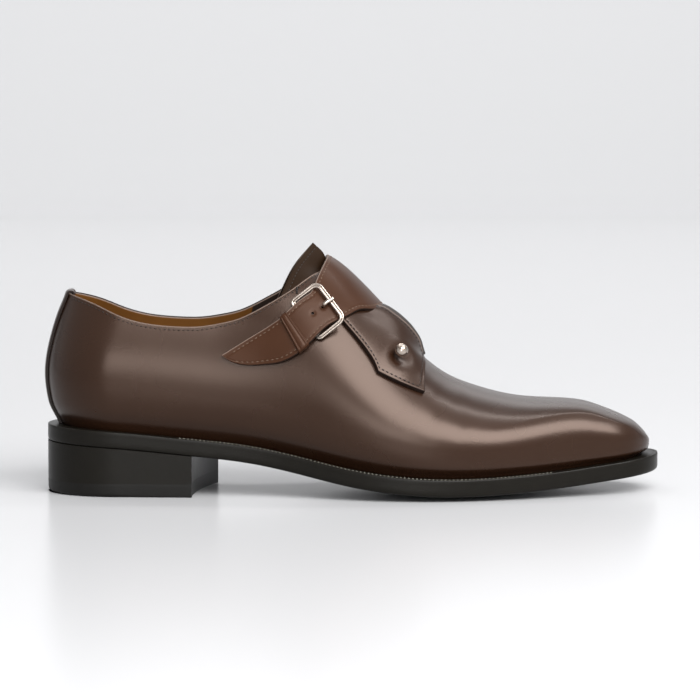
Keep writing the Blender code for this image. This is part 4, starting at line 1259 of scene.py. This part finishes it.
# Down the back the strip follows the last, whose half width at each rise gives the station of
# each of its columns. At the collar it turns over in a half circle and runs down inside.
def makeBackStrip():
    z = stripSizes
    y = np.linspace(-0.5, 0.5, 25) * z["width"]
    rise = np.linspace(z["startRise"], z["foldRise"], 70)
    widest = last["ballWidth"] * widestOut(0.0)
    low = last["instepHeight"] * widestRise(0.0)
    high = last["instepHeight"] * ridgeRiseShare(0.0)
    feather = last["ballWidth"] * featherOut(0.0)
    below = np.clip(1 - rise / low, 0, 1)
    above = np.clip((rise - low) / (high - low), 0, 1)
    half = np.where(rise < low, feather + (widest - feather) * (1 - below ** 2),
                    widest * np.sqrt(1 - above ** 2))
    opened = np.clip(np.abs(y)[None, :] / half[:, None], 0, 0.95)
    station = last["backRound"] / lastLength * (1 - np.sqrt(1 - opened ** 2))
    x = xAt(station, rise[:, None])
    level = bed(xAt(station, 0.0)) + rise[:, None]
    face = np.stack([x, np.broadcast_to(y, x.shape), level], -1)
    normal = unit(np.cross(np.gradient(face, axis=0), np.gradient(face, axis=1)))
    face = face - unit(normal * (1, 1, 0)) * tucked(2 - rise / low)[:, None, None]
    up = unit(face[-1] - face[-2])
    out = normal[-1]
    wall = upperSizes["wall"]
    middle = face[-1] - out * (wall / 2) + up * 1.4
    radius = wall / 2 + z["standoff"]
    turn = np.linspace(0, math.pi, 15)[:, None, None]
    foldNormal = out * np.cos(turn) + up * np.sin(turn)
    down = np.linspace(0, z["foldDepth"], 12)[1:, None, None]
    inside = middle - out * radius - up * down
    grid = np.concatenate([
        face[:-1] + z["standoff"] * normal[:-1], middle + radius * foldNormal, inside])
    normals = np.concatenate([normal[:-1], foldNormal, np.broadcast_to(-out, inside.shape)])
    left, reach = z["edgeThinning"]
    edge = np.clip((0.5 - np.abs(y) / z["width"]) / reach, 0, 1)
    full, folded = z["thickness"], z["foldThickness"]
    thick = np.interp(np.arange(len(grid)), [0, 60, 72, len(grid) - 2, len(grid) - 1],
                      [full, full, folded, folded, folded / 3])
    thick = thick[:, None] * (left + (1 - left) * np.sqrt(1 - (1 - edge) ** 2))
    makeSlab("back_strip_calf", grid + normals * thick[..., None], grid - normals * 0.02,
             [calf, shadeAndInkEdge], replaces=("back_strip",), slot="calf", sharp=50)


tongueSizes = {
    "thickness": 1.8,
    "gap": 0.9,  # under the vamp
    "crown": 7.9,  # how far its free end stands up
    "end": 0.403,  # station of its free end at the ridge
    "root": 0.540,
    "reach": 0.56,  # across
    "sideLength": 24.0,  # from the ridge to its side edge
    "swept": 0.09,  # how far its free end runs back to the sides
    "edgeRound": 0.5,
    "stitch": (2.2, 1.5, 0.5),
    "stitchInset": 2.6,
    "groove": (0.14, 0.4),
    "length": 45.0,
}


# The tongue lies under the vamp and stands up behind the throat by the cube of its distance
# from the collar's line, more towards its free end: station, across and height of its face.
def tongueAt(share, reach):
    t = tongueSizes
    freeEnd = t["end"] - t["swept"] * np.abs(reach)
    station = freeEnd + (t["root"] - freeEnd) * share
    across = np.broadcast_to(reach, station.shape)
    edge = np.maximum(collarAcross(station), 0.02)
    inside = np.clip(1 - np.abs(across) / edge, 0, 1)
    behind = smooth(last["throat"] - 0.02, last["throat"] - 0.06, station)
    crown = behind * np.clip(inside * 1.1 - 0.1, 0, 1) ** 3
    raised = last["throat"] - 0.035
    rising = 0.5 + 0.5 * np.clip((raised - station) / (raised - t["end"]), 0, 1)
    wall = upperSizes["wall"]
    height = -wall - t["gap"] + (t["crown"] + wall) * crown * rising
    return station, across, height


# Rows from the free end to the root. Two soft bell-shaped folds cross it.
def makeTongue():
    t = tongueSizes
    reach = np.linspace(-t["reach"], t["reach"], 73)
    share = np.concatenate([0.012 * quarterRows(5)[:-1], np.linspace(0.012, 1, 70)])[:, None]
    s, a, height = tongueAt(share, reach)
    face = lifted(s, a, height)
    fromEnd = np.linalg.norm(face - face[:1], axis=-1)
    side = (1 - np.abs(reach) / t["reach"]) * t["sideLength"]
    border = np.minimum(fromEnd, side)
    drop = t["edgeRound"] * borderDrop(border, t["edgeRound"])
    depth, half = t["groove"]
    groove = depth * bump(t["stitchInset"], half, border)
    folds = 0.25 * bump(0.28, 0.05, share) * np.cos(reach * 3)
    folds = folds + 0.18 * bump(0.40, 0.04, share + 0.05 * reach)
    makeSlab("tongue_calf", lifted(s, a, height - drop - groove - folds),
             lifted(s, a, height - t["thickness"] + 0.4 * drop),
             [waxedCalf, cutEdge], replaces=("tongue",), slot="waxed_calf", sharp=60)
    reach = np.linspace(-0.93, 0.93, 120) * t["reach"]
    s, a, height = tongueAt(t["stitchInset"] / t["length"], reach)
    makeStitches("tongue_stitches", lifted(s, a, height - 0.15), outward(s, a), darkThread,
                 *t["stitch"], slot="waxed_calf")


makeBackStrip()
makeTongue()
print("tongue made")


# Sole, welt and heel

soleSizes = {
    "welt": 2.8,
    "stack": 8.3,  # welt and outsole
    "backLedge": 5.0,
    "sideLedge": 3.0,
    "ballLedge": 4.3,
    "toeLedge": 5.9,
    "lap": 2.5,  # of the welt in under the upper
    "insoleRise": 1.2,  # of the inner sole over the welt
    "stitchFrom": 0.205,  # station where the welt's stitches start
    "stitchTo": 0.834,
    "stitch": (2.0, 1.05, 0.5),
    "stitchInset": 1.5,  # from the edge
    "wheelMark": 0.16,  # depth of the marks between the stitches
    "insoleGap": 0.5,
}
heelSizes = {
    "length": 73.0,  # on the outer side
    "slant": 11.0,  # how much longer it is on the inner side
    "hollow": 3.0,  # of its breast
    "topPiece": 6.5,
    "round": 2.4,  # of the top piece's lower edge
    "swell": 0.03,
}


def outlineOffset(station, side, distance):  # feather line of one side, moved outward in plan
    step = 0.0004
    after = skin(np.minimum(station + step, 1), side)[..., :2]
    along = unit(after - skin(np.maximum(station - step, 0), side)[..., :2])
    out = np.stack([-along[:, 1], along[:, 0]], -1) * np.sign(side)
    out[station <= 0] = (-1, 0)
    out[station >= 1] = (1, 0)
    away = np.broadcast_to(distance, station.shape)[:, None]
    return skin(station, side)[..., :2] + out * away


def ledge(station):  # how far the sole stands out past the last
    z = soleSizes
    back = z["backLedge"] + (z["sideLedge"] - z["backLedge"]) * smooth(0, 0.10, station)
    ball = back + (z["ballLedge"] - z["sideLedge"]) * smooth(0.32, 0.55, station)
    return ball + (z["toeLedge"] - z["ballLedge"]) * smooth(0.93, 1.0, station)


# One layer of the sole: rows from the outer edge to the inner edge, hung down from the bed by
# the sole's rounding across, a parabola that flattens where it reaches the floor.
def soleLayer(station, distance, drop, columns):
    share = np.linspace(0, 1, columns + 1)
    share = share - 0.06 * np.sin(2 * math.pi * share)
    outer = outlineOffset(station, -2.0, distance)[:, None]
    inner = outlineOffset(station, 2.0, distance)[:, None]
    plan = outer + (inner - outer) * share[None, :, None]
    rimOuter = outlineOffset(station, -2.0, ledge(station))[:, 1:2]
    rimInner = outlineOffset(station, 2.0, ledge(station))[:, 1:2]
    across = np.clip((plan[..., 1] - rimOuter) / np.maximum(rimInner - rimOuter, 0.1), 0, 1)
    x = plan[..., 0]
    hollow = last["camber"] * camberShare(x / last["length"]) * 4 * across * (1 - across)
    sag = np.minimum(hollow, bed(x) - soleSizes["stack"])
    return np.concatenate([plan, (bed(x) - drop - sag)[..., None]], -1)


def around(layer):  # the closed edge line of a layer
    return np.concatenate([layer[:, 0], layer[-2:0:-1, -1]])


# Solid from a stack of layers: the first is its upper face, the last its lower face, and the
# edge lines of all of them make its side.
def makeStack(name, layers, edges, looks, **more):
    loops = np.stack([edges(layer) for layer in layers])
    start = loops.shape[0] * loops.shape[1]
    rings = np.arange(start).reshape(loops.shape[:2])
    parts = [loops.reshape(-1, 3)]
    faces = [gridFaces(np.concatenate([rings, rings[:, :1]], 1))]
    for layer in (layers[0], layers[-1]):
        index = start + np.arange(layer.shape[0] * layer.shape[1]).reshape(layer.shape[:2])
        parts.append(layer.reshape(-1, 3))
        faces.append(gridFaces(index))
        start += index.size
    counts = [len(f) for f in faces]
    faceLooks = np.repeat([0, 0, min(1, len(looks) - 1)], counts)
    return makePiece(name, np.concatenate(parts), np.concatenate(faces), looks, faceLooks, **more)


# The side's profile gives how far each layer lies out from the edge and down from the bed.
def makeOutsole():
    station = upperStations(26, 60, 30, 40, 30)
    top, low = soleSizes["welt"], soleSizes["stack"]
    profile = ((0.0, top), (0.0, top + 0.05), (0.06, top + 2.2), (0.0, low - 1.3),
               (-0.22, low - 0.6), (-0.62, low - 0.16), (-1.1, low))
    layers = [soleLayer(station, ledge(station) + out, drop, 24 if drop in (top, low) else 1)
              for out, drop in profile]
    makeStack("sole_leather", layers, around, [soleEdge, soleBottom],
              replaces=("outsole",), slot="sole_leather", sharp=60)


# The welt is a closed profile carried round the sole. Shallow wheel marks cross its face
# between the stitches.
def makeWelt():
    station = upperStations(90, 330, 240, 260, 100)
    rim = ledge(station)
    lap, thick = soleSizes["lap"], soleSizes["welt"]
    # out from the edge, down from the bed, share of the marks; None is the inner edge
    profile = ((None, 0.0, 0.0), (-3.0, 0.0, 0.2), (-2.3, 0.0, 0.7), (-1.7, 0.0, 0.9),
               (-1.1, 0.0, 0.9), (-0.55, 0.0, 0.8), (-0.25, 0.09, 0.6), (-0.07, 0.28, 0.3),
               (0.0, 0.55, 0.1), (0.03, thick * 0.6, 0.0), (0.0, thick, 0.0), (None, thick, 0.0))
    loops = []
    for distance, drop, _ in profile:
        away = -lap + 0 * rim if distance is None else np.maximum(rim + distance, -lap)
        line = around(soleLayer(station, away, drop, 1))
        line[:, 2] = bed(line[:, 0]) - drop
        loops.append(line)
    loops = np.stack(loops)
    turns = runLength(loops[8]) / soleSizes["stitch"][0]
    marks = np.maximum(np.cos(turns * 2 * math.pi), -0.3)
    marks = marks * smooth(0.17, 0.21, np.concatenate([station, station[-2:0:-1]]))
    marked = np.array([share for _, _, share in profile])
    loops[..., 2] -= soleSizes["wheelMark"] * marks * marked[:, None]
    makeTube("welt_leather", loops, [soleEdge], ringed=True,
             replaces=("welt",), slot="sole_leather", sharp=60)


def makeWeltStitches():
    z = soleSizes
    station = upperStations(30, 120, 80, 80, 60)
    kept = station[(station > z["stitchFrom"]) & (station < z["stitchTo"])]
    for name, side in (("welt_stitches_outer", -2.0), ("welt_stitches_inner", 2.0)):
        plan = outlineOffset(kept, side, ledge(kept) - z["stitchInset"])
        line = np.concatenate([plan, (bed(plan[:, 0]) + 0.03)[:, None]], -1)
        makeStitches(name, line, np.broadcast_to((0.0, 0.0, 1.0), line.shape), greyThread,
                     *z["stitch"], slot="sole_leather")


# Plan of the heel, drawn in by an inset: the sole's edge round the back, and a slanted breast
# that bows towards the back as a parabola.
def heelPlan(inset, rowsBack, rowsFore, columns):
    h = heelSizes
    back = last["backRound"] / lastLength
    lengths = (h["length"], h["length"] + h["slant"])
    rows = [np.concatenate([back * quarterRows(rowsBack + 1)[:-1],
                            np.linspace(back, (length - featherStart) / lastLength, rowsFore + 1)])
            for length in lengths]
    outer = outlineOffset(rows[0], -2.0, ledge(rows[0]) - inset)[:, None]
    inner = outlineOffset(rows[1], 2.0, ledge(rows[1]) - inset)[:, None]
    share = np.linspace(0, 1, columns + 1)
    plan = outer + (inner - outer) * share[None, :, None]
    along = smooth(0.3, 1.0, np.linspace(0, 1, len(rows[0])))[:, None]
    plan[..., 0] -= (h["hollow"] * 4 * share * (1 - share) + inset) * along
    return plan


def heelEdge(layer):  # the closed edge line of a layer of the heel
    return np.concatenate([layer[:, 0], layer[-1, 1:-1], layer[:0:-1, -1]])


def heelLayer(inset, height):  # the heel's plan at a height, which may vary with x
    plan = heelPlan(inset, 26, 24, 26)
    z = height(plan[..., 0]) if callable(height) else np.full(plan.shape[:2], float(height))
    return np.concatenate([plan, z[..., None]], -1)


# The stack's layers share out the height between top piece and sole, and swell by a half
# sine. The top piece's lower edge comes in as a quarter circle, wider at the back.
def makeHeel():
    h = heelSizes
    split = h["topPiece"]

    def between(share):
        return lambda x: split + (bed(x) - soleSizes["stack"] - split) * share

    layers = [heelLayer(0.0, between(1.0))]
    layers += [heelLayer(-h["swell"] * math.sin(math.pi * k / 8), between(1 - k / 8))
               for k in range(1, 9)]
    makeStack("heel_leather", layers, heelEdge, [soleEdge],
              replaces=("heel_stack",), slot="sole_leather", sharp=50)

    plan = heelLayer(0.0, 0.0)
    rounding = h["round"] * (0.25 + 0.75 * (1 - smooth(0.2, 0.9, plan[..., 0] / h["length"])))
    inward = unit(plan[-1].mean(0) - plan) * (1, 1, 0)
    edge = np.zeros(plan.shape[:2])
    edge[:, (0, -1)] = 1
    edge[(0, -1), :] = 1

    def lowered(turn):
        layer = plan + inward * (rounding * edge * (1 - math.cos(turn)))[..., None]
        layer[..., 2] = rounding * (1 - math.sin(turn))
        return layer

    layers = [heelLayer(0.0, split), heelLayer(-0.01, split - 0.1), heelLayer(0.0, split - 1.5)]
    layers += [lowered(turn) for turn in np.linspace(0, math.pi / 2, 8)[:-1]]
    bottom = plan + inward * (rounding * edge)[..., None]
    bottom[..., 2] = 0.0
    makeStack("heel_rubber", layers + [bottom], heelEdge, [rubber],
              replaces=("heel_top_piece",), slot="heel_rubber", sharp=50)


# The inner sole with its lining: three layers inside the feather line.
def makeSock():
    station = upperStations(16, 40, 24, 24, 16)
    edge = -soleSizes["lap"] - soleSizes["insoleGap"]
    top, low = -soleSizes["insoleRise"], soleSizes["welt"] - 0.3
    profile = ((-0.5, top), (0.0, top + 0.3), (0.0, low))
    layers = [soleLayer(station, np.full(station.shape, edge + out), drop, 20)
              for out, drop in profile]
    makeStack("sock_leather", layers, around, [lining],
              replaces=("insole",), slot="lining_leather", sharp=50)


makeOutsole()
makeWelt()
makeWeltStitches()
makeHeel()
makeSock()
print("sole made")


# Camera, light and floor

view = {
    "target": (150.4, 0.0, 69.9),
    "distance": 2200.0,
    "elevation": 5.6,  # degrees
    "sensor": 36.0,
    "lens": 4421 / 700 * 36,  # millimetres, for 4421 pixels of a 700 pixel wide picture
}
studio = {  # in metres
    "floorDepth": (-4.0, 2.0),
    "halfWidth": 6.0,
    "sweepRadius": 1.5,
    "wallHeight": 5.0,
    "paint": "#a6a6a7",
    "air": "#f4f5f7",
    "airStrength": 0.80,
}
# name, place, aim, width and height in metres, and watts
softboxes = (
    ("front_softbox", (0.70, -1.12, 1.13), (0.05, 0.0, 0.05), (1.85, 1.10), 80),
    ("low_softbox", (-0.19, -2.55, 0.56), (0.0, 0.0, 0.05), (1.15, 0.56), 16),
    ("top_softbox", (0.65, 0.15, 1.50), (0.05, 0.0, 0.0), (1.20, 1.20), 4),
    ("rear_softbox", (0.20, 1.90, 1.05), (0.10, 0.0, 0.05), (1.60, 0.50), 2),
    ("wall_light", (0.0, 1.0, 2.4), (0.0, 3.4, 0.7), (3.5, 0.9), 112),
)


def makeCamera():  # looks at the target, square on to the shoe, from a little above
    lens = bpy.data.cameras.new("camera")
    lens.lens = view["lens"]
    lens.sensor_width = view["sensor"]
    lens.clip_start, lens.clip_end = 0.1, 50
    camera = bpy.data.objects.new("camera", lens)
    bpy.context.scene.collection.objects.link(camera)
    lift = math.radians(view["elevation"])
    back = np.array((0.0, -math.cos(lift), math.sin(lift)))
    camera.location = Vector(place(np.array(view["target"]) + view["distance"] * back))
    camera.rotation_mode = "QUATERNION"
    camera.rotation_quaternion = Vector(-back).to_track_quat("-Z", "Y")
    bpy.context.scene.camera = camera


def makeSoftbox(name, at, towards, size, power):
    light = bpy.data.lights.new(name, "AREA")
    light.shape = "RECTANGLE"
    light.size, light.size_y = size
    light.energy = power
    obj = bpy.data.objects.new(name, light)
    bpy.context.scene.collection.objects.link(obj)
    obj.location = at
    obj.rotation_mode = "QUATERNION"
    obj.rotation_quaternion = (Vector(towards) - Vector(at)).to_track_quat("-Z", "Y")


# The floor runs level and sweeps up behind the shoe as a quarter circle into a wall.
def makeSweep():
    z = studio
    count = 25
    across = np.linspace(-z["halfWidth"], z["halfWidth"], count)
    turn = np.linspace(0, math.pi / 2, count)
    radius, end = z["sweepRadius"], z["floorDepth"][1]
    level = np.linspace(*z["floorDepth"], 13)[:-1]
    y = np.concatenate([level, end + radius * np.sin(turn), [end + radius]])
    height = np.concatenate([0 * level, radius - radius * np.cos(turn), [z["wallHeight"]]])
    shape = (count, len(y))
    points = np.stack([np.broadcast_to(across[:, None], shape),
                       np.broadcast_to(y, shape), np.broadcast_to(height, shape)], -1)
    faces = gridFaces(np.arange(count * len(y)).reshape(shape))
    mesh = bpy.data.meshes.new("studio_sweep")
    mesh.from_pydata(points.reshape(-1, 3).tolist(), [], faces[:, ::-1].tolist())
    mesh.shade_smooth()
    look, _ = newLook("painted_sweep", {
        "Base Color": linear(z["paint"]), "Roughness": 0.24, "Specular IOR Level": 0.12})
    mesh.materials.append(look)
    floor = bpy.data.objects.new("studio_sweep", mesh)
    bpy.context.scene.collection.objects.link(floor)


def makeStudio():
    world = bpy.data.worlds.new("studio")
    world.use_nodes = True
    air = world.node_tree.nodes["Background"].inputs
    air["Color"].default_value = linear(studio["air"])
    air["Strength"].default_value = studio["airStrength"]
    bpy.context.scene.world = world
    for settings in softboxes:
        makeSoftbox(*settings)
    bpy.context.scene.view_settings.view_transform = "Standard"


makeCamera()
makeSweep()
makeStudio()
print("studio ready")
